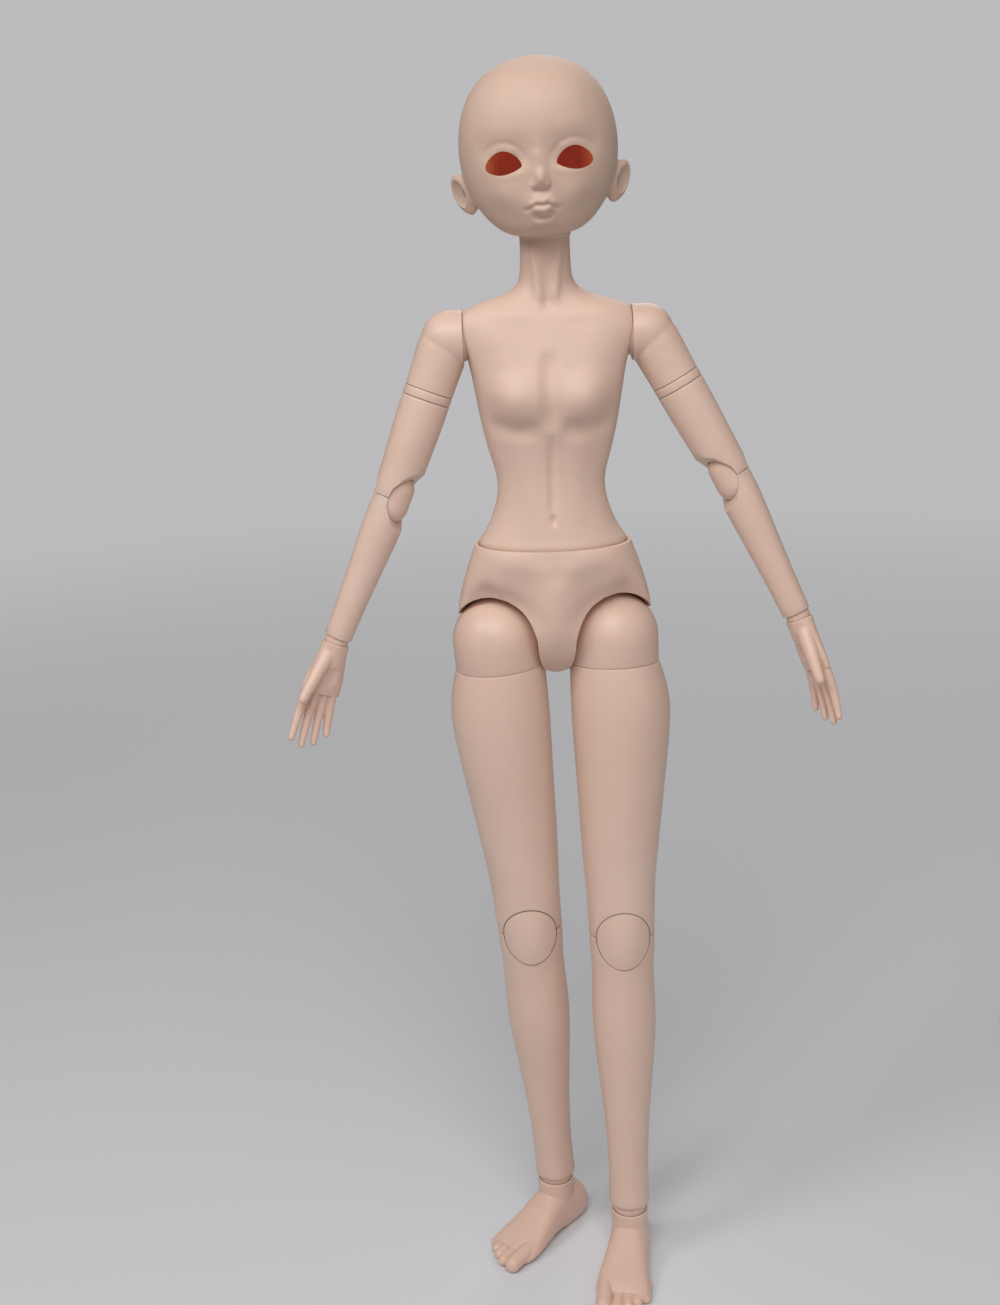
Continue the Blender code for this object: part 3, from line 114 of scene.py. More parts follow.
# Pelvis: height up from the crotch, half width, front, back
PELVIS_SHARES = (
    (0.0, 0.12, 0.24, 0.30), (0.06, 0.34, 0.40, 0.62), (0.16, 0.70, 0.62, 0.88),
    (0.28, 0.93, 0.72, 0.99), (0.40, 0.995, 0.78, 1.00), (0.52, 0.990, 0.81, 0.97),
    (0.68, 0.940, 0.82, 0.90), (0.84, 0.870, 0.795, 0.82), (1.0, 0.790, 0.760, 0.765),
)
ROOM_GROWTH_SHARES = ((0.0, 0.0), (0.45, 0.055), (0.9, 0.07), (1.5, 0.15), (2.6, 0.22))
# Head: height up from the chin, half width, front, back
HEAD_SHARES = (
    (-0.002, 0.30, 0.42, 0.30), (0.004, 0.40, 0.55, 0.39), (0.018, 0.475, 0.66, 0.455),
    (0.053, 0.595, 0.79, 0.54), (0.095, 0.680, 0.845, 0.62), (0.147, 0.775, 0.875, 0.70),
    (0.25, 0.905, 0.915, 0.83), (0.37, 0.980, 0.930, 0.93), (0.48, 1.002, 0.945, 0.985),
    (0.60, 0.985, 0.975, 1.000), (0.72, 0.920, 0.950, 0.965), (0.83, 0.800, 0.835, 0.850),
    (0.92, 0.610, 0.640, 0.650), (0.975, 0.350, 0.370, 0.370), (0.995, 0.160, 0.170, 0.170), (1.0, 0.05, 0.05, 0.05),
)
HEAD_INSIDE_SHARES = (
    (0.085, 0.530, 0.600, 0.50), (0.18, 0.710, 0.790, 0.66), (0.30, 0.850, 0.840, 0.78),
    (0.45, 0.905, 0.860, 0.89), (0.60, 0.885, 0.885, 0.91), (0.74, 0.80, 0.83, 0.85),
    (0.86, 0.60, 0.64, 0.65), (0.94, 0.28, 0.30, 0.30),
)
CAP_FRONT_SHARE = 0.12
CAP_BACK_SHARE = 0.42
# Foot: length towards the toes, half width, height, inward offset
FOOT_SHARES = (
    (-0.40, 0.38, 0.44, 0.0), (-0.33, 0.58, 0.66, 0.0), (-0.18, 0.68, 0.80, 0.0),
    (0.0, 0.70, 0.84, 0.0), (0.20, 0.72, 0.78, 0.02), (0.38, 0.80, 0.60, 0.06),
    (0.56, 0.92, 0.44, 0.08), (0.70, 0.98, 0.33, 0.06), (0.78, 0.90, 0.24, 0.04),
)
ANKLE_COLUMN_SHARES = ((0.22, 0.80), (0.55, 1.02), (0.80, 1.08), (1.0, 1.10))
# Toes: inward place across the foot, where the toe starts, its reach and its thickness
TOE_SHARES = (
    (0.66, 0.60, 1.00, 1.0), (0.17, 0.60, 0.97, 1.0), (-0.19, 0.58, 0.92, 0.95),
    (-0.51, 0.56, 0.86, 0.90), (-0.79, 0.53, 0.79, 0.85),
)
# Fingers: place across the palm at the knuckle, where the tip ends, sideways lean
FINGER_SHARES = ((0.70, 0.945, 0.20), (0.25, 0.992, 0.03), (-0.24, 0.952, -0.07), (-0.68, 0.862, -0.16))


def length(name, description, default):
    return FloatProperty(name=name, description=description, default=default, unit="LENGTH", precision=5)


def degrees(name, description, default):
    return FloatProperty(name=name, description=description, default=math.radians(default), subtype="ANGLE")


def colour(name, description, default):
    return FloatVectorProperty(name=name, description=description, default=default, subtype="COLOR",
                               size=3, min=0.0, max=1.0)


class LegSizes(bpy.types.PropertyGroup):
    """Sizes of the hips, legs and feet."""
    clearance: length("Clearance", "Gap between mating faces", 0.0003)
    hip_ball: length("Hip ball", "Radius of the hip ball", 0.0215)
    hip_face: length("Hip face", "Drop from the hip's centre to the face that turns on the thigh", 0.012)
    thigh: length("Thigh", "Widest radius of the thigh", 0.0239)
    knee: length("Knee", "Radius of the knee block", 0.0148)
    shin: length("Shin", "Widest radius of the shin", 0.0161)
    ankle: length("Ankle", "Radius of the ankle ball", 0.0088)
    ankle_band: length("Ankle band", "Height of the ball that shows above its middle", 0.0024)
    ankle_sink: length("Ankle sink", "Drop from the ball's middle to the foot's rim", 0.0028)
    wall: length("Wall", "Thickness of a leg casting", 0.0042)
    channel: length("Channel", "Radius of the string's hole", 0.0045)
    foot_front: length("Foot front", "Reach of the foot ahead of the ankle", 0.050)
    foot_half: length("Foot half width", "Half width across the ball of the foot", 0.0143)
    instep: length("Instep", "Height of the instep", 0.029)
    big_toe: length("Big toe", "Radius of the big toe", 0.0042)
    small_toe: length("Small toe", "Radius of the other toes", 0.0029)


class ArmSizes(bpy.types.PropertyGroup):
    """Sizes of the shoulders, arms and hands."""
    shoulder: length("Shoulder", "Radius of the shoulder's round face", 0.0127)
    shoulder_ball: length("Shoulder ball", "Radius of the dome in the chest's seat", 0.0115)
    ring_drop: length("Ring drop", "Distance down the arm to the turning ring", 0.0245)
    ring_height: length("Ring height", "Height of the turning ring", 0.004)
    upper_arm: length("Upper arm", "Radius at the top of the upper arm", 0.0112)
    elbow: length("Elbow", "Radius of the elbow block", 0.0084)
    forearm: length("Forearm", "Widest radius of the forearm", 0.0092)
    wrist: length("Wrist", "Radius of the wrist ball", 0.0056)
    wrist_band: length("Wrist band", "Height of the ball that shows on each side of its middle", 0.0017)
    wall: length("Wall", "Thickness of an arm casting", 0.0030)
    channel: length("Channel", "Radius of the string's hole", 0.0026)
    hand: length("Hand", "Length of the hand from wrist to fingertip", 0.0545)
    palm_half: length("Palm half width", "Half width across the knuckles", 0.0105)
    palm_depth: length("Palm half depth", "Half thickness of the palm", 0.0046)
    finger: length("Finger", "Radius of a finger", 0.0024)
    thumb: length("Thumb", "Length of the thumb", 0.021)


class BodySizes(bpy.types.PropertyGroup):
    """Sizes of the torso, neck and pelvis."""
    waist_half: length("Waist half width", "Half width of the waist's round bearing", 0.0377)
    waist_ball: length("Waist bearing", "Radius of the waist's round bearing", 0.024)
    chest_half: length("Chest half width", "Half width across the shoulders", 0.040)
    chest_depth: length("Chest depth", "Depth of the chest in front of the spine", 0.026)
    pelvis_half: length("Pelvis half width", "Half width of the pelvis", 0.0465)
    pelvis_depth: length("Pelvis depth", "Half depth of the pelvis", 0.031)
    pelvis_height: length("Pelvis height", "Height of the pelvis before its bearing is cut", 0.063)
    crotch_drop: length("Crotch drop", "Drop from the hips to the crotch", 0.015)
    shoulder_face: length("Shoulder face", "Distance from the middle to the chest's flat side", 0.038)
    neck: length("Neck", "Radius of the neck", 0.0112)
    neck_ball: length("Neck ball", "Radius of the ball at the top of the neck", 0.0124)
    channel: length("Channel", "Radius of the string's hole in the neck", 0.0040)
    hip_spread: degrees("Hip spread", "Turn of the hips' swing away from straight ahead", 12.0)
    swing_back: degrees("Swing back", "Room for the thigh to swing back", 12.0)
    swing_forward: degrees("Swing forward", "Room for the thigh to swing forward", 93.0)


class HeadSizes(bpy.types.PropertyGroup):
    """Sizes of the hollow head and its features."""
    height: length("Height", "Height of the head from chin to crown", 0.075)
    half_width: length("Half width", "Half width of the head", 0.0352)
    half_depth: length("Half depth", "Half depth of the head", 0.0385)
    chin_drop: length("Chin drop", "Drop from the neck's ball to the chin", 0.0035)
    roll: degrees("Roll", "Sideways tilt of the head", -3.0)
    turn: degrees("Turn", "How far the face looks to its right", -2.0)
    socket_wall: length("Socket wall", "Thickness over the neck's ball", 0.0028)
    socket_mouth: length("Socket mouth", "Radius of the hole over the neck's ball", 0.0080)
    eye_spacing: length("Eye half spacing", "Distance from the middle to an eye's centre", 0.0152)
    eye_half: length("Eye half width", "Half width of an eye opening", 0.0078)
    eye_rise: length("Eye rise", "Height of the eye corners over the neck's ball", 0.0266)
    eye_over: length("Eye over", "Height of the opening over its corners", 0.0065)
    eye_under: length("Eye under", "Depth of the opening under its corners", 0.0033)
    ear_rise: length("Ear rise", "Height of the ear's middle over the neck's ball", 0.0162)
    grain: length("Clay grain", "Fineness of the modelled head", 0.00062)


class Finishes(bpy.types.PropertyGroup):
    """Colours of the castings, strings and wires."""
    body: colour("Body", "Colour of the body castings", (0.75, 0.55, 0.455))
    head: colour("Head", "Colour of the head's two castings", (0.65, 0.475, 0.385))
    extremity: colour("Hands and feet", "Colour of the hands and feet", (0.77, 0.55, 0.455))
    # Painted shade and glow: a dark red that stands in for the shaded inside of the head, lit red through the casting.
    hollow: colour("Hollow", "Colour inside the head, where light comes through the casting", (0.27, 0.040, 0.022))
    steel: colour("Wire", "Colour of the wire hooks", (0.55, 0.55, 0.56))
    elastic: colour("Elastic", "Colour of the covered elastic", (0.85, 0.84, 0.80))
    floor: colour("Floor", "Colour of the floor", (0.71, 0.725, 0.76))
    backdrop: colour("Backdrop", "Colour of what lies behind the floor", (0.50, 0.497, 0.509))


class StageSizes(bpy.types.PropertyGroup):
    """The camera and the floor."""
    camera_side: length("Camera side", "How far the camera stands to the doll's right", 0.027)
    camera_back: length("Camera distance", "How far the camera stands in front of the doll's hips", 0.746)
    camera_height: length("Camera height", "Height of the camera over the floor", 0.566)
    camera_dip: degrees("Camera dip", "How far the camera looks down", 17.6)
    camera_roll: degrees("Camera roll", "How far the camera leans", 2.2)
    lens_share: FloatProperty(name="Lens share", description="Focal length over the picture's width", default=1.62)
    floor_radius: length("Floor radius", "Radius of the floor", 2.4)


def sizes():
    return bpy.context.scene.strung_doll


# Bench work

def clear_picks():
    if bpy.context.object and bpy.context.object.mode != "OBJECT":
        bpy.ops.object.mode_set(mode="OBJECT")
    bpy.ops.object.select_all(action="DESELECT")


def take(piece):
    """Make a piece the one that is worked on."""
    clear_picks()
    piece.select_set(True)
    bpy.context.view_layer.objects.active = piece


def apply_step(piece, kind, **settings):
    take(piece)
    bpy.ops.object.modifier_add(type=kind)
    step = piece.modifiers[-1]
    for setting, value in settings.items():
        setattr(step, setting, value)
    bpy.ops.object.modifier_apply(modifier=step.name)


def subdivide(piece, levels):
    apply_step(piece, "SUBSURF", levels=levels, render_levels=levels)


def carve(piece, tool, operation="DIFFERENCE"):
    """Cut a tool out of a piece, or join it on, and put the tool away."""
    apply_step(piece, "BOOLEAN", object=tool, operation=operation, solver="EXACT")
    bpy.data.objects.remove(tool, do_unlink=True)


def settle(piece, place):
    """Put a piece made in its own frame where it belongs, with its place in its mesh."""
    take(piece)
    piece.matrix_world = place @ piece.matrix_world
    bpy.ops.object.transform_apply(location=True, rotation=True, scale=True)


def seal(piece):
    """Close the open ends of a tube and turn its faces outwards."""
    take(piece)
    bpy.ops.object.mode_set(mode="EDIT")
    bpy.ops.mesh.select_all(action="SELECT")
    bpy.ops.mesh.fill_holes(sides=0)
    bpy.ops.mesh.normals_make_consistent(inside=False)
    bpy.ops.object.mode_set(mode="OBJECT")


class Ring:
    """One level ring of a cage: its middle, half width, and depth in front and behind."""

    def __init__(self, height, half_width, front=None, back=None, corner=1.0, across=0.0, along=0.0):
        self.middle = Vector((across, along, height))
        self.half_width = half_width
        self.front = half_width if front is None else front
        self.back = self.front if back is None else back
        self.corner = corner


def grow(name, sides, rings, levels):
    """A closed tube grown from a circle: each ring is extruded and sized, its front and back apart."""
    clear_picks()
    bpy.ops.mesh.primitive_circle_add(vertices=sides, radius=1.0, location=ORIGIN)
    piece = bpy.context.object
    piece.name = piece.data.name = name
    bpy.ops.object.mode_set(mode="EDIT")
    bpy.ops.mesh.select_all(action="SELECT")
    swell = 1.0 / (2.0 / 3.0 + math.cos(2.0 * math.pi / sides) / 3.0)
    last = Ring(0.0, 1.0 / swell)
    for number, ring in enumerate(rings):
        if number:
            bpy.ops.mesh.extrude_region()
        bpy.ops.transform.translate(value=ring.middle - last.middle)
        size_ring(piece, ring, last)
        last = ring
    bpy.ops.object.mode_set(mode="OBJECT")
    subdivide(piece, levels)
    seal(piece)
    return piece


def size_ring(piece, ring, last):
    mesh = bmesh.from_edit_mesh(piece.data)
    points = [point for point in mesh.verts if point.select]
    wide = ring.half_width / last.half_width
    in_front = [point.co.y < ring.middle.y - SNAP for point in points]
    at_corner = [is_corner(point.co - ring.middle, last) for point in points]
    groups = (
        (in_front, (wide, ring.front / last.front, 1.0)),
        ([not ahead for ahead in in_front], (wide, ring.back / last.back, 1.0)),
        (at_corner, (ring.corner / last.corner, ring.corner / last.corner, 1.0)),
    )
    for flags, size in groups:
        for point, flag in zip(points, flags):
            point.select = flag
        bmesh.update_edit_mesh(piece.data)
        bpy.ops.transform.resize(value=size, center_override=ring.middle)
    for point in points:
        point.select = True
    mesh.select_flush(True)
    bmesh.update_edit_mesh(piece.data)


def is_corner(offset, ring):
    """Whether a ring's point lies nearer to a diagonal than to the front, back or sides."""
    depth = ring.front if offset.y < 0.0 else ring.back
    angle = math.degrees(math.atan2(abs(offset.y) / depth, abs(offset.x) / ring.half_width))
    return 25.0 < angle < 65.0


def ball(radius, centre=ORIGIN, shape=(1.0, 1.0, 1.0), sides=BALL_SIDES):
    clear_picks()
    bpy.ops.mesh.primitive_uv_sphere_add(segments=sides, ring_count=sides // 2, radius=radius,
                                         location=centre, scale=shape)
    bpy.ops.object.transform_apply(location=True, rotation=True, scale=True)
    return bpy.context.object


def drum(radius, low, high, sides=BALL_SIDES):
    """A round bar along Z."""
    clear_picks()
    bpy.ops.mesh.primitive_cylinder_add(vertices=sides, radius=radius, depth=high - low,
                                        location=(0.0, 0.0, (low + high) / 2.0))
    bpy.ops.object.transform_apply(location=True, rotation=True, scale=True)
    return bpy.context.object


def rod(start, end, radius, sides=BALL_SIDES):
    """A round bar between two points."""
    bar = drum(radius, 0.0, (end - start).length, sides)
    settle(bar, frame_from(end - start, Vector((0.3, 1.0, 0.2)), start))
    return bar


def tunnel(half_width, half_height, middle, near, far):
    """An oval bar along Y, centred at a height."""
    clear_picks()
    bpy.ops.mesh.primitive_cylinder_add(vertices=TOOL_SIDES, radius=1.0, depth=far - near,
                                        location=(0.0, (near + far) / 2.0, middle),
                                        rotation=(math.radians(90.0), 0.0, 0.0),
                                        scale=(half_width, half_height, 1.0))
    bpy.ops.object.transform_apply(location=True, rotation=True, scale=True)
    return bpy.context.object


def slab(outline, low, high):
    """A bar along X with an outline of (y, z) points."""
    mesh = bpy.data.meshes.new("slab")
    mesh.from_pydata([(low, y, z) for y, z in outline], [], [range(len(outline))])
    piece = bpy.data.objects.new("slab", mesh)
    bpy.context.scene.collection.objects.link(piece)
    take(piece)
    bpy.ops.object.mode_set(mode="EDIT")
    bpy.ops.mesh.select_all(action="SELECT")
    bpy.ops.mesh.extrude_region_move(TRANSFORM_OT_translate={"value": (high - low, 0.0, 0.0)})
    bpy.ops.mesh.select_all(action="SELECT")
    bpy.ops.mesh.normals_make_consistent(inside=False)
    bpy.ops.object.mode_set(mode="OBJECT")
    return piece


def worm(points, radii, sides=20):
    """A tapering round lump through points, with round ends."""
    curve = bpy.data.curves.new("worm", "CURVE")
    curve.dimensions = "3D"
    curve.bevel_depth = 1.0
    curve.bevel_resolution = sides // 4
    curve.use_fill_caps = True
    curve.resolution_u = 6
    spline = curve.splines.new("NURBS")
    spline.points.add(len(points) - 1)
    for target, point, radius in zip(spline.points, points, radii):
        target.co = (*point, 1.0)
        target.radius = radius
    spline.use_endpoint_u = True
    spline.order_u = min(4, len(points))
    lump = bpy.data.objects.new("worm", curve)
    bpy.context.scene.collection.objects.link(lump)
    take(lump)
    bpy.ops.object.convert(target="MESH")
    lump = bpy.context.object
    ends = [ball(radius, point, sides=sides) for point, radius in ((points[0], radii[0]), (points[-1], radii[-1]))]
    return [lump] + ends


def knead(name, lumps, grain, passes):
    """Press lumps of clay into one body with softened creases."""
    clear_picks()
    for lump in lumps:
        lump.select_set(True)
    bpy.context.view_layer.objects.active = lumps[0]
    bpy.ops.object.join()
    piece = bpy.context.object
    piece.name = piece.data.name = name
    piece.data.remesh_voxel_size = grain
    bpy.ops.object.voxel_remesh()
    if passes:
        apply_step(piece, "SMOOTH", iterations=passes, factor=0.5)
    return piece


class Sculptor:
    """Draws the surface of a piece out or in along lines that are seen from the front or the back."""

    def __init__(self, piece, facing=-1.0):
        self.piece = piece
        take(piece)
        bpy.ops.object.mode_set(mode="EDIT")
        bpy.context.tool_settings.mesh_select_mode = (True, False, False)
        mesh = bmesh.from_edit_mesh(piece.data)
        places = np.array([point.co for point in mesh.verts])
        normals = np.array([point.normal for point in mesh.verts])
        self.numbers = np.nonzero(normals[:, 1] * facing > 0.0)[0]
        self.places = places[self.numbers][:, (0, 2)]

    def stroke(self, points, move, reach, falloff="SMOOTH", mirror=True):
        """Move what lies along a line of (x, z) points a little at a time, least at its ends."""
        line = along_line([Vector((x, 0.0, z)) for x, z in points], reach / 4.0)
        passes = 4 if len(line) > 8 else 1
        for number in range(passes):
            trim = len(line) * number // (3 * passes)
            self.draw(line[trim:len(line) - trim], Vector(move) / passes, reach, falloff, mirror)

    def draw(self, line, move, reach, falloff, mirror):
        """Move the points nearest to a line, and let what is around them follow."""
        if mirror:
            line = line + [Vector((-point.x, 0.0, point.z)) for point in line]
        bpy.ops.mesh.select_all(action="DESELECT")
        mesh = bmesh.from_edit_mesh(self.piece.data)
        mesh.verts.ensure_lookup_table()
        for point in line:
            away = np.abs(self.places - (point.x, point.z)).sum(axis=1)
            mesh.verts[int(self.numbers[away.argmin()])].select = True
        bmesh.update_edit_mesh(self.piece.data)
        bpy.ops.transform.translate(value=move, use_proportional_edit=True,
                                    proportional_edit_falloff=falloff, proportional_size=reach)

    def done(self):
        bpy.ops.object.mode_set(mode="OBJECT")


def along_line(points, step):
    """Points spaced along a bent line."""
    if len(points) == 1:
        return list(points)
    line = []
    for start, end in zip(points, points[1:]):
        count = max(int((end - start).length / step), 1)
        line += [start.lerp(end, number / count) for number in range(count)]
    return line + [points[-1]]


def soften_rims(piece, width):
    """Round the sharp rims a little and shade the rest smooth."""
    take(piece)
    bpy.ops.object.mode_set(mode="EDIT")
    bpy.ops.mesh.select_all(action="SELECT")
    bpy.ops.mesh.remove_doubles(threshold=0.00002)
    bpy.ops.mesh.dissolve_degenerate(threshold=0.00002)
    bpy.ops.object.mode_set(mode="OBJECT")
    if width:
        apply_step(piece, "BEVEL", width=width, segments=2, limit_method="ANGLE",
                   angle_limit=math.radians(50.0), use_clamp_overlap=True)
    take(piece)
    bpy.ops.object.shade_smooth_by_angle(angle=math.radians(40.0))


def dress(piece, finish, body, slot, *nodes):
    """Give a finished piece its material, its body and the solids that it stands for."""
    piece.data.materials.clear()
    piece.data.materials.append(finish)
    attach(piece, body)
    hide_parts(*nodes)
    return piece


# Places, all read from the frame's joints

def joint_point(name):
    return Vector(JOINTS[name]["pos_m"])


def joint_axis(name):
    return Vector(JOINTS[name]["axis"])


def frame_from(z_axis, y_hint, origin):
    """A placing matrix with Z along one direction and Y as near as it can be to another."""
    z_axis = z_axis.normalized()
    y_axis = (y_hint - y_hint.dot(z_axis) * z_axis).normalized()
    x_axis = y_axis.cross(z_axis)
    return Matrix.Translation(origin) @ Matrix((x_axis, y_axis, z_axis)).transposed().to_4x4()


def leg_places(side):
    """Frames of a leg's pieces, and the lengths between its joints."""
    hip, knee, low = (joint_point(f"{side}_{name}") for name in ("hip_swing", "knee_upper", "knee_lower"))
    ankle = joint_point(f"{side}_ankle_flex")
    across = joint_axis(f"{side}_ankle_flex")
    return {
        "thigh": frame_from(hip - knee, BACK, hip), "thigh_length": (hip - knee).length,
        "knee": frame_from(knee - low, BACK, knee), "knee_span": (knee - low).length,
        "shin": frame_from(low - ankle, BACK, low), "shin_length": (low - ankle).length,
        "ankle": frame_from(low - ankle, BACK, ankle), "foot": frame_from(UP, UP.cross(across), ankle),
    }


def arm_places(side):
    """Frames of an arm's pieces, and the lengths between its joints."""
    shoulder, root = joint_point(f"{side}_shoulder_swing"), joint_point(f"{side}_upper_arm_turn")
    elbow, low = joint_point(f"{side}_elbow_upper"), joint_point(f"{side}_elbow_lower")
    wrist = joint_point(f"{side}_wrist_flex")
    crease = UP.cross(joint_axis(f"{side}_elbow_upper"))
    hand_up = SIGN[side] * joint_axis(f"{side}_hand_turn")
    palm_back = hand_up.cross(joint_axis(f"{side}_wrist_flex"))
    down = (elbow - root).normalized()
    drop = sizes().arm.ring_drop
    return {
        "shoulder": Matrix.Translation(shoulder), "root": root, "down": down,
        "ring": frame_from(-down, crease, root + down * drop),
        "arm": frame_from(-down, crease, root), "arm_length": (elbow - root).length,
        "elbow": frame_from(elbow - low, crease, elbow), "elbow_span": (elbow - low).length,
        "forearm": frame_from(low - wrist, crease, low), "forearm_length": (low - wrist).length,
        "wrist": frame_from(low - wrist, crease, wrist), "hand": frame_from(hand_up, palm_back, wrist),
    }


# Finishes

class Wire:
    """A socket that takes part in sums."""

    def __init__(self, finish, socket):
        self.finish = finish
        self.socket = socket

    def joined(self, operation, first, second):
        node = self.finish.add("ShaderNodeMath", {"operation": operation}, {0: first, 1: second})
        return node.out("Value")

    def __add__(self, other):
        return self.joined("ADD", self, other)

    __radd__ = __add__

    def __sub__(self, other):
        return self.joined("SUBTRACT", self, other)

    def __rsub__(self, other):
        return self.joined("SUBTRACT", other, self)

    def __mul__(self, other):
        return self.joined("MULTIPLY", self, other)

    __rmul__ = __mul__


class Placed:
    """A node that has its settings and inputs."""

    def __init__(self, finish, node):
        self.finish = finish
        self.node = node

    def out(self, name):
        return Wire(self.finish, self.node.outputs[name])


class Finish:
    """A procedural material on one Principled shader."""

    def __init__(self, name):
        self.material = bpy.data.materials.new(name)
        self.material.use_nodes = True
        self.tree = self.material.node_tree
        self.shader = self.tree.nodes["Principled BSDF"]

    def add(self, kind, settings=None, inputs=None):
        node = self.tree.nodes.new(kind)
        for setting, value in (settings or {}).items():
            setattr(node, setting, value)
        for name, value in (inputs or {}).items():
            self.feed(node.inputs[name], value)
        return Placed(self, node)

    def feed(self, socket, value):
        if isinstance(value, Wire):
            self.tree.links.new(value.socket, socket)
        else:
            socket.default_value = value

    def set(self, **inputs):
        """Set or link the shader's own sockets: words_like_this name Words Like This."""
        for name, value in inputs.items():
            self.feed(self.shader.inputs[name.replace("_", " ").title().replace("Ior", "IOR")], value)

    def place(self):
        return self.add("ShaderNodeTexCoord").out("Object")

    def noise(self, scale, detail=2.0):
        node = self.add("ShaderNodeTexNoise", None, {"Vector": self.place(), "Scale": scale, "Detail": detail})
        return node.out("Fac")

    def ramp(self, value, low, high):
        """0 below low, 1 above high, and a smooth step between."""
        node = self.add("ShaderNodeMapRange", {"interpolation_type": "SMOOTHSTEP"},
                        {"Value": value, "From Min": low, "From Max": high})
        return node.out("Result")

    def mix(self, amount, first, second):
        node = self.tree.nodes.new("ShaderNodeMix")
        node.data_type = "RGBA"
        self.feed(node.inputs[0], amount)
        self.feed(node.inputs[6], first)
        self.feed(node.inputs[7], second)
        return Wire(self, node.outputs[2])

    def bump(self, height, distance, strength=1.0):
        node = self.add("ShaderNodeBump", None, {"Height": height, "Distance": distance, "Strength": strength})
        return node.out("Normal")


def shade(tint, factor, warm=0.0):
    """A colour made darker or lighter, and a little redder."""
    red, green, blue = tint
    return (red * factor, green * factor * (1.0 - warm), blue * factor * (1.0 - 2.0 * warm), 1.0)


def casting_finish(name, tint, roughness):
    """Satin cast plastic: faint cloudiness, a fine grain, and warm light inside it."""
    if name in bpy.data.materials:
        return bpy.data.materials[name]
    finish = Finish(name)
    cloud = finish.noise(26.0, 3.0)
    drift = finish.noise(7.0, 1.0)
    grain = finish.noise(1800.0, 3.0)
    tone = finish.mix(finish.ramp(cloud, 0.30, 0.70), shade(tint, 0.965, 0.02), shade(tint, 1.02))
    tone = finish.mix(finish.ramp(drift, 0.35, 0.65), tone, shade(tint, 0.985, 0.025))
    finish.set(base_color=tone, roughness=roughness - 0.05 + 0.10 * cloud)
    finish.set(subsurface_weight=0.25, subsurface_radius=(1.0, 0.38, 0.20), subsurface_scale=0.0035, ior=1.48)
    finish.set(specular_ior_level=0.45)
    finish.set(normal=finish.bump(grain, 0.00004, 0.35))
    return finish.material


def body_finish():
    return casting_finish("body casting", tuple(sizes().finish.body), 0.50)


def limb_finish():
    return casting_finish("limb casting", tuple(sizes().finish.body), 0.37)


def head_finish():
    return casting_finish("head casting", tuple(sizes().finish.head), 0.60)


def extremity_finish():
    return casting_finish("hand and foot casting", tuple(sizes().finish.extremity), 0.36)


def hollow_shade_and_glow_finish():
    """The inside of the head, lit red through its own wall: a dark red of painted shade, with a painted glow that
    stands in for that light.
    """
    name = "head hollow"
    if name in bpy.data.materials:
        return bpy.data.materials[name]
    finish = Finish(name)
    tint = tuple(sizes().finish.hollow)
    cloud = finish.noise(60.0, 2.0)
    across = finish.add("ShaderNodeSeparateXYZ", None, {"Vector": finish.place()}).out("X")
    # Painted glow: brighter and more orange towards the sides of the head.
    painted_glow_sides = finish.ramp(across * across, 0.00030, 0.00070)
    tone = finish.mix(finish.ramp(cloud, 0.3, 0.7), shade(tint, 0.85), shade(tint, 1.1))
    tone = finish.mix(painted_glow_sides, tone, (tint[0] * 1.7, tint[1] * 3.4, tint[2] * 2.6, 1.0))
    # Painted glow: the emission makes the hollow give off light of its own.
    finish.set(base_color=tone, roughness=0.5 + 0.1 * cloud, emission_color=tone)
    finish.set(emission_strength=0.55)
    return finish.material


def wire_finish():
    name = "hook wire"
    if name in bpy.data.materials:
        return bpy.data.materials[name]
    finish = Finish(name)
    tint = tuple(sizes().finish.steel)
    draw = finish.noise(900.0, 2.0)
    finish.set(base_color=finish.mix(draw, shade(tint, 0.9), shade(tint, 1.1)), metallic=1.0)
    finish.set(roughness=0.24 + 0.16 * draw, normal=finish.bump(draw, 0.00003, 0.5))
    return finish.material


def elastic_finish():
    """Braided cover of the elastic: two fine crossing twills."""
    name = "elastic cover"
    if name in bpy.data.materials:
        return bpy.data.materials[name]
    finish = Finish(name)
    tint = tuple(sizes().finish.elastic)
    twills = []
    for lean in (1.0, -1.0):
        node = finish.add("ShaderNodeMapping", None,
                          {"Vector": finish.place(), "Rotation": (lean * 0.7, 0.0, 0.0)})
        wave = finish.add("ShaderNodeTexWave", {"bands_direction": "Z"},
                          {"Vector": node.out("Vector"), "Scale": 700.0, "Distortion": 0.4})
        twills.append(wave.out("Fac"))
    braid = twills[0] * twills[1]
    finish.set(base_color=finish.mix(braid, shade(tint, 0.72), shade(tint, 1.0)), roughness=0.85 - 0.1 * braid)
    finish.set(normal=finish.bump(braid, 0.0001, 0.6))
    return finish.material


# Knees and elbows

def open_end(piece, hinge, seam, radius, span, upward):
    """Cut the window over the shield and the folding notch from the end of a limb piece."""
    carve(piece, tunnel(radius * WINDOW_WIDTH_SHARE, span * WINDOW_HEIGHT_SHARE, seam,
                        -2.0 * radius, -WINDOW_DEPTH_SHARE * radius))
    outline = [(radius * back, hinge + upward * radius * up) for back, up in NOTCH_SHARES]
    carve(piece, slab(outline, -2.0 * radius, 2.0 * radius))


def bore(piece, radius, low, high):
    carve(piece, drum(radius, low, high))


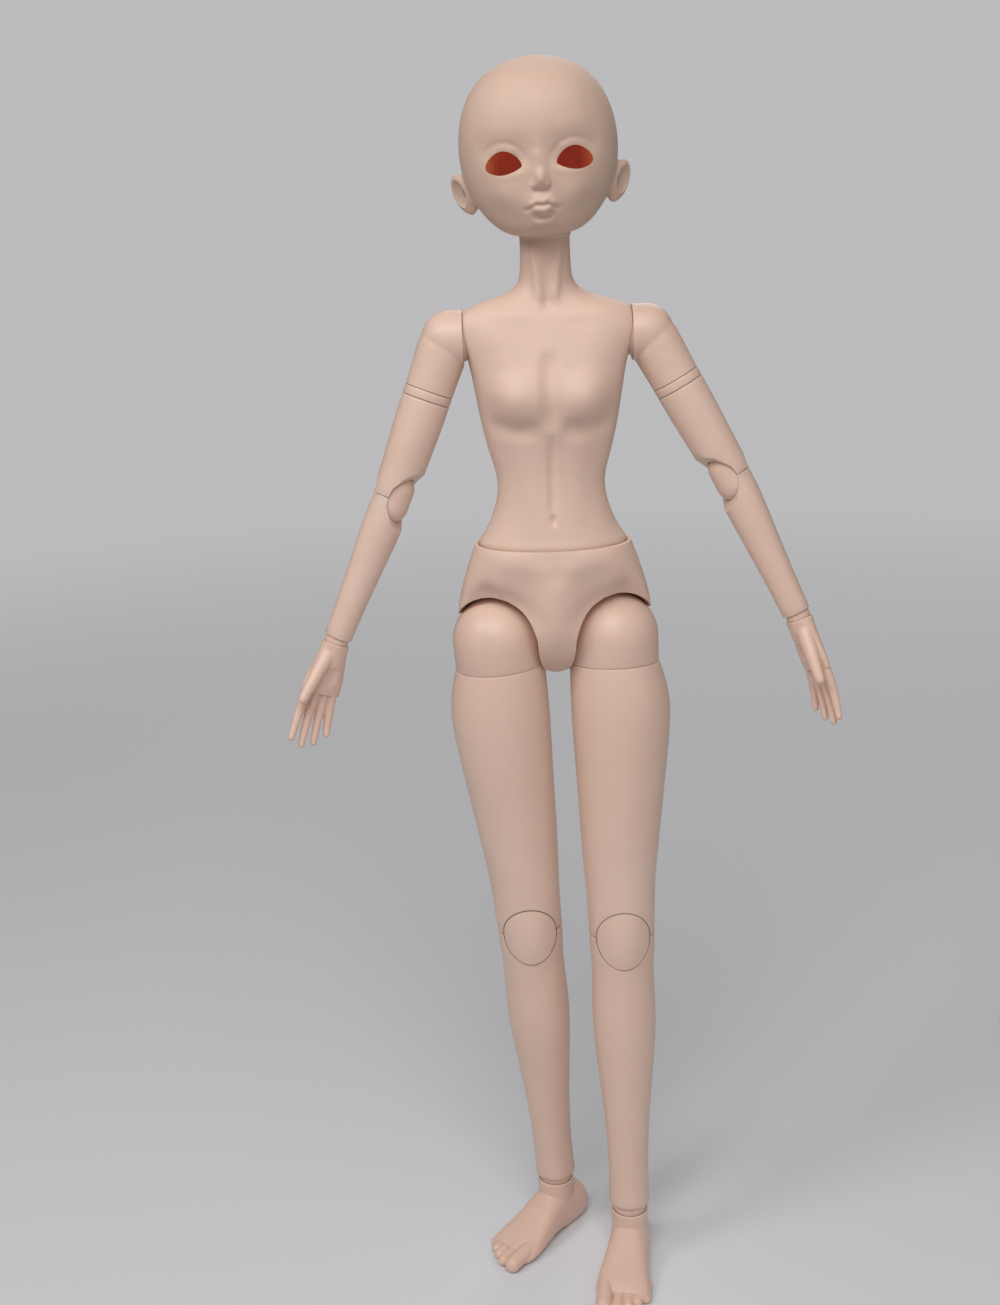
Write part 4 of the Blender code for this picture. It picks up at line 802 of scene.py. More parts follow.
def joint_block(name, radius, span, channel, clearance):
    """The double ended ball of a knee or elbow, with its shield in front, bored for the string."""
    shield = drum(radius * SHIELD_SHARE, -span - 2.0 * radius, 2.0 * radius, TOOL_SIDES)
    carve(shield, tunnel(radius * WINDOW_WIDTH_SHARE - clearance, span * WINDOW_HEIGHT_SHARE - clearance,
                         -span / 2.0, -2.0 * radius, -2.0 * WINDOW_DEPTH_SHARE * radius), "INTERSECT")
    block = ball(radius, sides=TOOL_SIDES)
    block.name = block.data.name = name
    carve(block, ball(radius, Vector((0.0, 0.0, -span)), sides=TOOL_SIDES), "UNION")
    carve(block, drum(radius * 0.9995, -span, 0.0, TOOL_SIDES), "UNION")
    carve(block, shield, "UNION")
    bore(block, channel, -span - 2.0 * radius, 2.0 * radius)
    return block


def build_knee(side):
    leg, places = sizes().leg, leg_places(side)
    block = joint_block(f"{side}_knee_block", leg.knee, places["knee_span"], leg.channel, leg.clearance)
    soften_rims(block, 0.00030)
    settle(block, places["knee"])
    dress(block, limb_finish(), f"{side}_knee_joint", "body_plastic", f"{side}_knee_joint")


def build_elbow(side):
    arm, places = sizes().arm, arm_places(side)
    clearance = sizes().leg.clearance
    block = joint_block(f"{side}_elbow_block", arm.elbow, places["elbow_span"], arm.channel, clearance)
    soften_rims(block, 0.00020)
    settle(block, places["elbow"])
    dress(block, limb_finish(), f"{side}_elbow_joint", "body_plastic", f"{side}_elbow_joint")


# Legs

def build_hip_ball(side):
    """A dome on a round face, with a spigot in the thigh and a slanted hole for the string."""
    leg, place = sizes().leg, leg_places(side)["thigh"]
    face = -leg.hip_face
    bore_radius = leg.hip_ball - leg.wall
    piece = ball(leg.hip_ball, sides=TOOL_SIDES)
    piece.name = piece.data.name = f"{side}_hip_dome"
    carve(piece, drum(leg.hip_ball * 0.9995, face, 0.0, TOOL_SIDES), "UNION")
    carve(piece, drum(2.0 * leg.hip_ball, -2.0 * leg.hip_ball, face))
    spigot = bore_radius - leg.clearance
    carve(piece, drum(spigot, face - OVERRUN, face + OVERRUN), "UNION")
    hollow = spigot - leg.wall * 0.7
    carve(piece, ball(hollow))
    bore(piece, hollow, face - 2.0 * OVERRUN, 0.0)
    waist = joint_point("waist_bend") - UP * sizes().body.waist_ball * 0.8
    way = (place.inverted() @ waist).normalized()
    carve(piece, rod(way * hollow * 0.5, way * (leg.hip_ball + OVERRUN), leg.channel))
    soften_rims(piece, 0.00030)
    settle(piece, place)
    dress(piece, limb_finish(), f"{side}_hip_ball", "body_plastic", f"{side}_hip_ball")


def build_thigh(side):
    leg, places = sizes().leg, leg_places(side)
    run, span, sign = places["thigh_length"], places["knee_span"], SIGN[side]
    face = -leg.hip_face - leg.clearance
    rim = -run - span / 2.0 + leg.clearance
    rings = [Ring(face, leg.hip_ball)]
    for along, width, bulge in THIGH_SHARES:
        rings.append(Ring(-run * along, leg.thigh * width, across=sign * leg.thigh * bulge))
    rings.append(Ring(rim, leg.thigh * THIGH_END_SHARE))
    piece = grow(f"{side}_thigh_casting", LIMB_SIDES, rings, 2)
    seat = leg.knee + leg.clearance
    carve(piece, ball(seat, Vector((0.0, 0.0, -run)), sides=TOOL_SIDES))
    bore(piece, seat, rim - OVERRUN, -run)
    bore(piece, leg.channel, -run, face - leg.thigh)
    bore(piece, leg.hip_ball - leg.wall, face - leg.thigh, face + OVERRUN)
    open_end(piece, -run, -run - span / 2.0, leg.knee, span, 1.0)
    soften_rims(piece, 0.00030)
    settle(piece, places["thigh"])
    dress(piece, limb_finish(), f"{side}_thigh", "body_plastic", f"{side}_thigh")


def build_shin(side):
    leg, places = sizes().leg, leg_places(side)
    run, span = places["shin_length"], places["knee_span"]
    top = span / 2.0 - leg.clearance
    rim = -run + leg.ankle_band
    rings = [Ring(top, leg.shin * SHIN_TOP_SHARE)]
    for along, width, calf in SHIN_SHARES:
        radius = leg.shin * width
        rings.append(Ring(-run * along, radius, radius, radius + leg.shin * 2.0 * calf))
    rings.append(Ring(rim, leg.shin * SHIN_END_SHARE))
    piece = grow(f"{side}_shin_casting", LIMB_SIDES, rings, 2)
    carve(piece, ball(leg.ankle + leg.clearance, Vector((0.0, 0.0, -run))))
    seat = leg.knee + leg.clearance
    carve(piece, ball(seat, sides=TOOL_SIDES))
    bore(piece, seat, 0.0, top + OVERRUN)
    bore(piece, leg.channel, -seat - leg.wall, 0.0)
    bore(piece, leg.channel * 0.8, -run, -seat)
    open_end(piece, 0.0, span / 2.0, leg.knee, span, -1.0)
    soften_rims(piece, 0.00030)
    settle(piece, places["shin"])
    dress(piece, limb_finish(), f"{side}_shin", "body_plastic", f"{side}_shin")


def bored_ball(name, radius, channel, grooves):
    """A ball for an ankle or a wrist, bored for the string, with soft lines round it."""
    piece = ball(radius, sides=TOOL_SIDES)
    piece.name = piece.data.name = name
    bore(piece, channel, -2.0 * radius, 2.0 * radius)
    for height in grooves:
        clear_picks()
        reach = math.sqrt(radius ** 2 - height ** 2)
        bpy.ops.mesh.primitive_torus_add(major_segments=BALL_SIDES, minor_segments=12, location=(0.0, 0.0, height),
                                         major_radius=reach + radius * 0.035, minor_radius=radius * 0.05)
        bpy.ops.object.transform_apply(location=True, rotation=True, scale=True)
        carve(piece, bpy.context.object)
    soften_rims(piece, 0.0)
    return piece


def build_ankle_and_wrist(side):
    leg, arm = sizes().leg, sizes().arm
    ankle = bored_ball(f"{side}_ankle_pivot", leg.ankle, leg.channel * 0.6, (-leg.ankle_sink * 0.25,))
    settle(ankle, leg_places(side)["ankle"])
    dress(ankle, limb_finish(), f"{side}_ankle_ball", "body_plastic", f"{side}_ankle_ball")
    wrist = bored_ball(f"{side}_wrist_pivot", arm.wrist, arm.channel * 0.7, ())
    settle(wrist, arm_places(side)["wrist"])
    dress(wrist, limb_finish(), f"{side}_wrist_ball", "body_plastic", f"{side}_wrist_ball")


def build_foot(side):
    """A foot modelled in clay: heel, arch and instep, an ankle column and five toes on a flat sole."""
    leg, sign = sizes().leg, SIGN[side]
    place = leg_places(side)["foot"]
    floor = -place.translation.z
    rings = []
    for along, width, height, inward in FOOT_SHARES:
        tall = leg.instep * height
        rings.append(Ring(leg.foot_front * along, leg.foot_half * width, tall * 0.56, tall * 0.56, corner=1.04,
                          across=-sign * leg.foot_half * inward, along=tall * 0.44))
    upper = grow("upper", LIMB_SIDES, rings, 1)
    settle(upper, Matrix.Translation((0.0, 0.0, floor)) @ Matrix.Rotation(math.radians(90.0), 4, "X"))
    rim = -leg.ankle_sink
    column = [Ring(floor + (rim - floor) * height, leg.ankle * width) for height, width in ANKLE_COLUMN_SHARES]
    lumps = [upper, grow("column", LIMB_SIDES, column, 1)]
    for number, (inward, start, reach, thickness) in enumerate(TOE_SHARES):
        radius = (leg.small_toe if number else leg.big_toe) * thickness
        x = -sign * leg.foot_half * inward
        heights = ((start, 1.5), ((start + reach) / 2.0, 1.25), (reach - radius / leg.foot_front, 0.95))
        points = [Vector((x, -leg.foot_front * along, floor + radius * lift)) for along, lift in heights]
        lumps += worm(points, (radius * 0.95, radius * 0.92, radius))
    piece = knead(f"{side}_foot_casting", lumps, 0.00050, 4)
    sole = 3.0 * leg.foot_front
    carve(piece, slab(((-sole, floor - sole), (sole, floor - sole), (sole, floor), (-sole, floor)), -sole, sole))
    arch = ball(1.0, Vector((-sign * leg.foot_half * 1.05, -leg.foot_front * 0.22, floor - 0.0012)),
                (leg.foot_half * 0.80, leg.foot_front * 0.30, 0.0062))
    carve(piece, arch)
    carve(piece, drum(2.0 * leg.ankle, rim, 2.0 * leg.ankle))
    carve(piece, ball(leg.ankle + leg.clearance))
    bore(piece, leg.channel * 0.7, -leg.ankle - 0.006, -leg.ankle * 0.5)
    soften_rims(piece, 0.0)
    settle(piece, place)
    dress(piece, extremity_finish(), f"{side}_foot", "extremity_plastic", f"{side}_foot")


# Arms

def build_shoulder(side):
    """A round stub on the chest's flat side that turns down into the arm, with a dome in the chest's seat."""
    arm, places, sign = sizes().arm, arm_places(side), SIGN[side]
    body, clearance = sizes().body, sizes().leg.clearance
    to_local = places["shoulder"].inverted()
    root, down = to_local @ places["root"], places["down"]
    face = sign * (body.shoulder_face + clearance) - places["shoulder"].translation.x
    end = root + down * arm.ring_drop
    corner = root + Vector((-sign * arm.shoulder * 0.10, 0.0, 0.0))
    stub = rod(Vector((face, 0.0, 0.0)), corner, arm.shoulder, TOOL_SIDES)
    lumps = [stub, ball(arm.shoulder, corner), rod(root - down * 0.002, end + down * OVERRUN, arm.upper_arm * 1.0)]
    rings = [Ring(arm.ring_drop * height, arm.upper_arm * width) for height, width in SHOULDER_SHARES]
    shaft = grow("shaft", LIMB_SIDES, rings, 1)
    settle(shaft, frame_from(-down, BACK, end))
    piece = knead(f"{side}_shoulder_casting", lumps + [shaft], 0.00045, 14)
    half = 2.0 * arm.shoulder
    near, far = sorted((face, face - sign * half))
    carve(piece, slab(((-half, -half), (half, -half), (half, half), (-half, half)), near, far))
    trim = drum(half, -half, 0.0)
    settle(trim, frame_from(-down, BACK, end))
    carve(piece, trim)
    carve(piece, ball(arm.shoulder_ball - clearance * 0.5), "UNION")
    bore_radius = arm.upper_arm - arm.wall
    carve(piece, rod(root + down * 0.004, end + down * OVERRUN, bore_radius))
    carve(piece, rod(Vector((-sign * arm.shoulder, 0.0, 0.0)), root, arm.channel * 1.4))
    carve(piece, ball(arm.channel * 1.9, root))
    soften_rims(piece, 0.00025)
    settle(piece, places["shoulder"])
    dress(piece, limb_finish(), f"{side}_shoulder", "body_plastic", f"{side}_shoulder")


def build_arm_ring(side):
    """The turning ring: a flat collar with spigots up into the shoulder and down into the arm."""
    arm, clearance = sizes().arm, sizes().leg.clearance
    top, low = -clearance, -clearance - arm.ring_height
    spigot = arm.upper_arm - arm.wall - clearance
    piece = drum(arm.upper_arm, low, top, TOOL_SIDES)
    piece.name = piece.data.name = f"{side}_arm_collar"
    carve(piece, drum(spigot, low - 0.0025, top + 0.0025), "UNION")
    bore(piece, spigot - arm.wall * 0.7, low - OVERRUN, top + OVERRUN)
    soften_rims(piece, 0.00025)
    settle(piece, arm_places(side)["ring"])
    dress(piece, limb_finish(), f"{side}_upper_arm", "body_plastic", f"{side}_upper_arm_ring")


def build_upper_arm(side):
    arm, places, clearance = sizes().arm, arm_places(side), sizes().leg.clearance
    run, span = places["arm_length"], places["elbow_span"]
    face = -arm.ring_drop - arm.ring_height - 2.0 * clearance
    rim = -run - span / 2.0 + clearance
    rings = [Ring(face, arm.upper_arm)]
    rings += [Ring(-run * along, arm.upper_arm * width) for along, width in UPPER_ARM_SHARES]
    rings.append(Ring(rim, arm.upper_arm * UPPER_ARM_END_SHARE))
    piece = grow(f"{side}_upper_arm_casting", LIMB_SIDES, rings, 2)
    seat = arm.elbow + clearance
    carve(piece, ball(seat, Vector((0.0, 0.0, -run))))
    bore(piece, seat, rim - OVERRUN, -run)
    bore(piece, arm.channel, -run, face - arm.ring_height)
    bore(piece, arm.upper_arm - arm.wall, face - 1.5 * arm.ring_height, face + OVERRUN)
    open_end(piece, -run, -run - span / 2.0, arm.elbow, span, 1.0)
    soften_rims(piece, 0.00022)
    settle(piece, places["arm"])
    dress(piece, limb_finish(), f"{side}_upper_arm", "body_plastic", f"{side}_upper_arm")


def build_forearm(side):
    arm, places, clearance = sizes().arm, arm_places(side), sizes().leg.clearance
    run, span = places["forearm_length"], places["elbow_span"]
    top = span / 2.0 - clearance
    rim = -run + arm.wrist_band
    rings = [Ring(top, arm.forearm)]
    rings += [Ring(-run * along, arm.forearm * width) for along, width in FOREARM_SHARES]
    rings.append(Ring(rim, arm.forearm * FOREARM_END_SHARE))
    piece = grow(f"{side}_forearm_casting", LIMB_SIDES, rings, 2)
    carve(piece, ball(arm.wrist + clearance, Vector((0.0, 0.0, -run))))
    seat = arm.elbow + clearance
    carve(piece, ball(seat))
    bore(piece, seat, 0.0, top + OVERRUN)
    bore(piece, arm.channel * 0.8, -run, 0.0)
    open_end(piece, 0.0, span / 2.0, arm.elbow, span, -1.0)
    soften_rims(piece, 0.00022)
    settle(piece, places["forearm"])
    dress(piece, limb_finish(), f"{side}_forearm", "body_plastic", f"{side}_forearm")


def build_hand(side):
    """A hand modelled in clay: a cupped palm, four slender fingers and a thumb."""
    arm, sign, clearance = sizes().arm, SIGN[side], sizes().leg.clearance
    run, half, deep = arm.hand, arm.palm_half, arm.palm_depth
    rim = -arm.wrist_band
    wrist_radius = arm.forearm * FOREARM_END_SHARE
    lumps = [grow("wrist", LIMB_SIDES, [
        Ring(rim, wrist_radius), Ring(-run * 0.07, half * 0.62, deep * 1.28),
        Ring(-run * 0.16, half * 0.70, deep * 1.22), Ring(-run * 0.28, half * 0.86, deep * 1.02),
        Ring(-run * 0.40, half * 0.97, deep * 0.84), Ring(-run * 0.49, half * 0.96, deep * 0.72),
    ], 1)]
    knuckle = -run * 0.50
    for across, reach, lean in FINGER_SHARES:
        root = Vector((sign * half * across * 0.94, deep * 0.10, knuckle))
        tip = Vector((root.x + sign * lean * half, -deep * 0.75, -run * reach + arm.finger * 0.7))
        middle = root.lerp(tip, 0.48) + Vector((0.0, deep * 0.22, 0.0))
        back = root.lerp(Vector((root.x * 0.6, 0.0, -run * 0.18)), 0.55)
        lumps += worm((back, root, middle, tip),
                      (arm.finger * 0.95, arm.finger * 1.12, arm.finger * 0.95, arm.finger * 0.66))
    base = Vector((sign * half * 0.30, -deep * 0.30, -run * 0.15))
    thumb_knuckle = base + Vector((sign * half * 0.42, -deep * 0.75, -arm.thumb * 0.48))
    thumb_tip = base + Vector((sign * half * 0.80, -deep * 1.35, -arm.thumb * 1.02))
    lumps += worm((base, thumb_knuckle, thumb_tip), (arm.finger * 1.75, arm.finger * 1.35, arm.finger * 0.95))
    piece = knead(f"{side}_hand_casting", lumps, 0.00034, 4)
    hollow = ball(1.0, Vector((-sign * half * 0.12, -deep * 1.62, -run * 0.35)), (half * 0.66, deep * 0.92, run * 0.15))
    carve(piece, hollow)
    piece = knead(piece.name, [piece], 0.00034, 7)
    carve(piece, drum(4.0 * wrist_radius, rim, 4.0 * wrist_radius))
    carve(piece, ball(arm.wrist + clearance))
    bore(piece, arm.channel * 0.8, -arm.wrist - 0.006, -arm.wrist * 0.5)
    soften_rims(piece, 0.0)
    settle(piece, arm_places(side)["hand"])
    dress(piece, extremity_finish(), f"{side}_hand", "extremity_plastic", f"{side}_hand")


# Body

def half_thickness(radius, growth, across):
    """Half the depth of a round limb, grown by a share, at a distance from its middle."""
    reach = radius * (1.0 + growth)
    return math.sqrt(max(reach ** 2 - across ** 2, (0.02 * radius) ** 2))


def swing_point(angle, along, lift):
    """A (y, z) point along a limb that has swung forward by an angle, lifted off its middle line."""
    y = -along * math.sin(angle) - lift * math.cos(angle)
    z = -along * math.cos(angle) + lift * math.sin(angle)
    return y, z


def growth_at(along):
    stops = [stop for stop, _ in ROOM_GROWTH_SHARES]
    return float(np.interp(along, stops, [growth for _, growth in ROOM_GROWTH_SHARES]))


def swing_room(sign):
    """The room that a hip ball and the top of its thigh sweep as the leg swings, in slices across the hip."""
    leg, body = sizes().leg, sizes().body
    radius = leg.hip_ball + leg.clearance * 1.6
    furthest = ROOM_GROWTH_SHARES[-1][0]
    slices, steps = 48, 24
    inward, outward = radius * (1.0 + ROOM_GROWTH_SHARES[1][1]), radius * (1.0 + ROOM_GROWTH_SHARES[-1][1])
    mesh = bmesh.new()
    loops = []
    for number in range(slices + 1):
        share = math.sin(math.pi * (number / slices - 0.5)) * 0.998
        across = inward * share if share < 0.0 else outward * share
        outline = []
        for step in range(steps + 1):
            along = furthest * (1.0 - step / steps)
            outline.append(swing_point(-body.swing_back, radius * along,
                                       -half_thickness(radius, growth_at(along), across)))
        begin, finish = -math.pi / 2.0 - body.swing_back, -math.pi * 1.5 + body.swing_forward
        for step in range(1, steps):
            turned = begin + (finish - begin) * step / steps
            outline.append(swing_point(turned, half_thickness(radius, 0.0, across), 0.0))
        for step in range(steps + 1):
            along = furthest * step / steps
            outline.append(swing_point(body.swing_forward, radius * along,
                                       half_thickness(radius, growth_at(along), across)))
        loops.append([mesh.verts.new((sign * across, y, z)) for y, z in outline])
    count = len(loops[0])
    for near, far in zip(loops, loops[1:]):
        for step in range(count):
            after = (step + 1) % count
            mesh.faces.new((near[step], near[after], far[after], far[step]))
    mesh.faces.new(loops[0])
    mesh.faces.new(loops[-1])
    bmesh.ops.recalc_face_normals(mesh, faces=mesh.faces)
    data = bpy.data.meshes.new("room")
    mesh.to_mesh(data)
    mesh.free()
    room = bpy.data.objects.new("room", data)
    bpy.context.scene.collection.objects.link(room)
    return room


def build_pelvis():
    body, leg = sizes().body, sizes().leg
    hips = {side: joint_point(f"{side}_hip_swing") for side in SIGN}
    middle = (hips["right"] + hips["left"]) / 2.0
    rings = [
        Ring(-body.crotch_drop + body.pelvis_height * height, body.pelvis_half * width,
             body.pelvis_depth * front, body.pelvis_depth * back, corner=1.025)
        for height, width, front, back in PELVIS_SHARES
    ]
    piece = grow("pelvis_casting", BODY_SIDES, rings, 2)
    model_pelvis(piece)
    waist = joint_point("waist_bend") - middle
    cup = ball(1.0, waist, (body.waist_half + leg.clearance, body.waist_ball + leg.clearance,
                            body.waist_ball + leg.clearance), TOOL_SIDES)
    carve(piece, cup)
    for side, hip in hips.items():
        room = swing_room(SIGN[side])
        settle(room, Matrix.Translation(hip - middle) @ Matrix.Rotation(SIGN[side] * body.hip_spread, 4, "Z"))
        carve(piece, room)
        carve(piece, rod(hip - middle, waist - UP * body.waist_ball * 0.8, leg.channel))
    soften_rims(piece, 0.00035)
    settle(piece, Matrix.Translation(middle))
    dress(piece, body_finish(), "pelvis", "body_plastic", "pelvis")


def model_pelvis(piece):
    """Soft hollows above the hips' arches and a low ridge down the middle."""
    hand = Sculptor(piece)
    hand.stroke(((0.018, 0.028), (0.034, 0.025)), (0.0, 0.0036, 0.0), 0.0145)
    hand.stroke(((0.016, 0.016), (0.030, 0.022), (0.042, 0.016)), (0.0, 0.0065, 0.0), 0.0120)
    hand.stroke(((0.0, 0.030), (0.0, 0.004)), (0.0, -0.0013, 0.0), 0.0105, mirror=False)
    hand.stroke(((0.0, 0.0400), (0.034, 0.0450)), (0.0, -0.0009, 0.0), 0.0062)
    hand.done()


def build_torso():
    """The trunk with its round waist bearing, flat sides for the shoulders, and the neck with its ball."""
    body, arm, leg = sizes().body, sizes().arm, sizes().leg
    waist, neck = joint_point("waist_bend"), joint_point("neck_turn")
    shoulder = joint_point("left_shoulder_swing")
    rise, neck_rise = shoulder.z - waist.z, neck.z - waist.z
    wide, deep = body.chest_half, body.chest_depth
    rings = []
    for share in WAIST_BALL_SHARES:
        shrink = math.sqrt(1.0 - share ** 2)
        rings.append(Ring(-body.waist_ball * share, body.waist_half * shrink, body.waist_ball * shrink))
    for height, width, front, back, corner in TORSO_SHARES:
        rings.append(Ring(rise * height, wide * width, deep * front, deep * back, corner))
    base = rise * TORSO_SHARES[-1][0]
    for height, width, front, back in NECK_SHARES:
        rings.append(Ring(base + (neck_rise - base) * height, body.neck * width, body.neck * front, body.neck * back))
    piece = grow("torso_casting", BODY_SIDES, rings, 3)
    model_torso(piece, rise)
    carve(piece, ball(body.neck_ball, Vector((0.0, 0.0, neck_rise))), "UNION")
    for side, sign in SIGN.items():
        face, reach = sign * (body.shoulder_face - leg.clearance * 0.5), 2.0 * wide
        near, far = sorted((face, sign * reach))
        low, high = rise - wide, rise + wide
        carve(piece, slab(((-reach, low), (reach, low), (reach, high), (-reach, high)), near, far))
        centre = Vector((sign * shoulder.x, 0.0, rise))
        carve(piece, ball(arm.shoulder_ball + leg.clearance, centre))
        carve(piece, rod(Vector((0.0, 0.0, rise)), centre, arm.channel * 1.4))
    bore(piece, body.channel, -body.waist_ball, neck_rise + 2.0 * body.neck_ball)
    carve(piece, ball(1.0, Vector((0.0, 0.0, rise * 0.55)), (wide * 0.5, deep * 0.5, rise * 0.42)))
    soften_rims(piece, 0.00030)
    settle(piece, Matrix.Translation(waist))
    dress(piece, body_finish(), "torso", "body_plastic", "torso")


def model_torso(piece, rise):
    """The smooth forms of the front: chest, midline, throat and neck."""
    hand = Sculptor(piece)
    hand.stroke(((0.0175, rise * 0.70),), (0.0, -0.0036, 0.0), 0.0165)
    hand.stroke(((0.0, rise * 0.58), (0.0, rise * 0.90)), (0.0, 0.0024, 0.0), 0.0070, mirror=False)
    hand.stroke(((0.009, rise * 0.545), (0.025, rise * 0.560)), (0.0, 0.0018, 0.0), 0.0080)
    hand.stroke(((0.0, rise * 0.05), (0.0, rise * 0.50)), (0.0, 0.0015, 0.0), 0.0036, mirror=False)
    hand.stroke(((0.0, rise * 0.055), (0.0, rise * 0.085)), (0.0, 0.0013, 0.0), 0.0017, mirror=False)
    hand.stroke(((0.010, rise * 0.05), (0.011, rise * 0.45)), (0.0, -0.0006, 0.0), 0.0090)
    hand.stroke(((0.0, rise * 1.165),), (0.0, 0.0012, 0.0), 0.0055, mirror=False)
    hand.stroke(((0.0032, rise * 1.16), (0.0048, rise * 1.30), (0.0070, rise * 1.46)), (0.0, -0.0012, 0.0), 0.0034)
    hand.stroke(((0.0, rise * 1.18), (0.0, rise * 1.42)), (0.0, 0.0008, 0.0), 0.0032, mirror=False)
    hand.stroke(((0.008, rise * 1.115), (0.028, rise * 1.135)), (0.0, -0.0004, 0.0002), 0.0050)
    hand.done()
    spine = Sculptor(piece, facing=1.0)
    spine.stroke(((0.0, rise * 0.02), (0.0, rise * 1.02)), (0.0, -0.0014, 0.0), 0.0065, mirror=False)
    spine.stroke(((0.019, rise * 0.86),), (0.0, 0.0014, 0.0), 0.0140)
    spine.done()


# Head

def head_rings(shares):
    head = sizes().head
    return [
        Ring(-head.chin_drop + head.height * height, head.half_width * width,
             head.half_depth * front, head.half_depth * back, corner=1.025)
        for height, width, front, back in shares
    ]


def ear_lumps(sign):
    """A leaf turned outwards, with its bowl scooped out and a small lobe."""
    head = sizes().head
    turn = Matrix.Rotation(sign * math.radians(-38.0), 4, "Z") @ Matrix.Rotation(sign * math.radians(20.0), 4, "Y")
    middle = Vector((sign * head.half_width * 0.985, head.half_depth * 0.07, head.ear_rise))
    place = Matrix.Translation(middle) @ turn
    leaf = ball(1.0, ORIGIN, (0.0030, 0.0068, 0.0094))
    settle(leaf, place)
    lobe = ball(1.0, Vector((0.0, -0.0012, -0.0062)), (0.0024, 0.0038, 0.0036))
    settle(lobe, place)
    return [leaf, lobe], place


def eye_tool(sign):
    """A bar with the outline of an eye opening: a high round top and a shallow bottom."""
    head = sizes().head
    bar = tunnel(head.eye_half, head.eye_over, 0.0, -head.half_depth * 1.3, -head.half_depth * 0.45)
    bar.name = "eye"
    take(bar)
    bpy.ops.object.mode_set(mode="EDIT")
    mesh = bmesh.from_edit_mesh(bar.data)
    for point in mesh.verts:
        outward = sign * point.co.x / head.eye_half
        point.select = point.co.z < -SNAP
        point.co.z *= 1.0 - 0.22 * outward ** 2 + (0.25 * outward if point.select else 0.0)
    bmesh.update_edit_mesh(bar.data)
    bpy.ops.transform.resize(value=(1.0, 1.0, head.eye_under / head.eye_over), center_override=ORIGIN)
    bpy.ops.object.mode_set(mode="OBJECT")
    settle(bar, Matrix.Translation((sign * head.eye_spacing, 0.0, head.eye_rise)))
    return bar


def eye_line(lift=0.0):
    """The outline of the left eye opening as (x, z) points, let out by a little."""
    head = sizes().head
    line = []
    for step in range(25):
        angle = 2.0 * math.pi * step / 24
        tall = head.eye_over if math.sin(angle) > 0.0 else head.eye_under
        narrow = 1.0 - 0.22 * math.cos(angle) ** 2
        line.append((head.eye_spacing + (head.eye_half + lift) * math.cos(angle),
                     head.eye_rise + (tall * narrow + lift) * math.sin(angle)))
    return line


def model_face(piece):
    """Draw the features out of the smooth head, from the large forms to the small ones."""
    hand = Sculptor(piece)
    # brow, eye hollows, cheeks and jaw
    hand.stroke(((0.009, 0.0325), (0.021, 0.0335)), (0.0, 0.0013, 0.0), 0.0100)
    hand.stroke(((0.0085, 0.0285),), (0.0, 0.0012, 0.0), 0.0062)
    hand.stroke(((0.0160, 0.0150),), (0.0, -0.0010, 0.0), 0.0130)
    hand.stroke(((0.0110, 0.0040), (0.0180, 0.0080)), (0.0, 0.0012, 0.0), 0.0100)
    # nose: bridge, tip, wings and the hollow under them
    hand.stroke(((0.0, 0.0300), (0.0, 0.0215)), (0.0, -0.0009, 0.0), 0.0044, mirror=False)
    hand.stroke(((0.0, 0.0228), (0.0, 0.0196)), (0.0, -0.0014, 0.0), 0.0040, mirror=False)
    hand.stroke(((0.0, 0.0196),), (0.0, -0.0017, 0.0003), 0.0045, "SPHERE", mirror=False)
    hand.stroke(((0.0035, 0.0184),), (0.0, -0.0011, 0.0), 0.0026)
    hand.stroke(((0.0, 0.0158), (0.0024, 0.0160)), (0.0, 0.0011, 0.0), 0.0026)
    # mouth: the mound, both lips, the line between them and the hollow under the lower lip
    hand.stroke(((0.0, 0.0095),), (0.0, -0.0022, 0.0), 0.0105, mirror=False)
    hand.stroke(((0.0, 0.0016),), (0.0, -0.0014, 0.0), 0.0075, mirror=False)
    hand.stroke(((0.0, 0.0113), (0.0022, 0.0121), (0.0054, 0.0102)), (0.0, -0.0012, 0.0), 0.0022)
    hand.stroke(((0.0, 0.0080), (0.0028, 0.0082)), (0.0, -0.0020, 0.0), 0.0029)
    hand.stroke(((0.0, 0.0102), (0.0024, 0.0103), (0.0044, 0.0094), (0.0066, 0.0086)), (0.0, 0.0013, 0.0), 0.0013)
    hand.stroke(((0.0068, 0.0085),), (0.0, 0.0006, 0.0), 0.0019)
    hand.stroke(((0.0, 0.0050), (0.0028, 0.0052)), (0.0, 0.0015, 0.0), 0.0030)
    hand.stroke(((0.0, 0.0138),), (0.0, 0.0004, 0.0), 0.0015, mirror=False)
    # lids: a soft rim round each opening and the fold above it
    hand.stroke(eye_line(0.0012), (0.0, -0.0003, 0.0), 0.0022)
    hand.stroke(eye_line(0.0034)[2:11], (0.0, 0.0004, 0.0), 0.0018)
    hand.done()


def plane_slab(gap, way):
    """The space on one side of the slanting plane that parts the cap from the face."""
    head = sizes().head
    deep, tall = head.half_depth, head.height
    front = Vector((0.0, deep * CAP_FRONT_SHARE, tall - head.chin_drop))
    back = Vector((0.0, deep, tall * CAP_BACK_SHARE - head.chin_drop))
    along = (back - front).normalized()
    normal = Vector((0.0, -along.z, along.y)) * way
    reach = 2.0 * tall
    corners = (front - along * reach, back + along * reach, back + along * reach, front - along * reach)
    lifts = (-gap, -gap, reach, reach)
    outline = [(corner.y + normal.y * lift, corner.z + normal.z * lift) for corner, lift in zip(corners, lifts)]
    return slab(outline, -reach, reach)


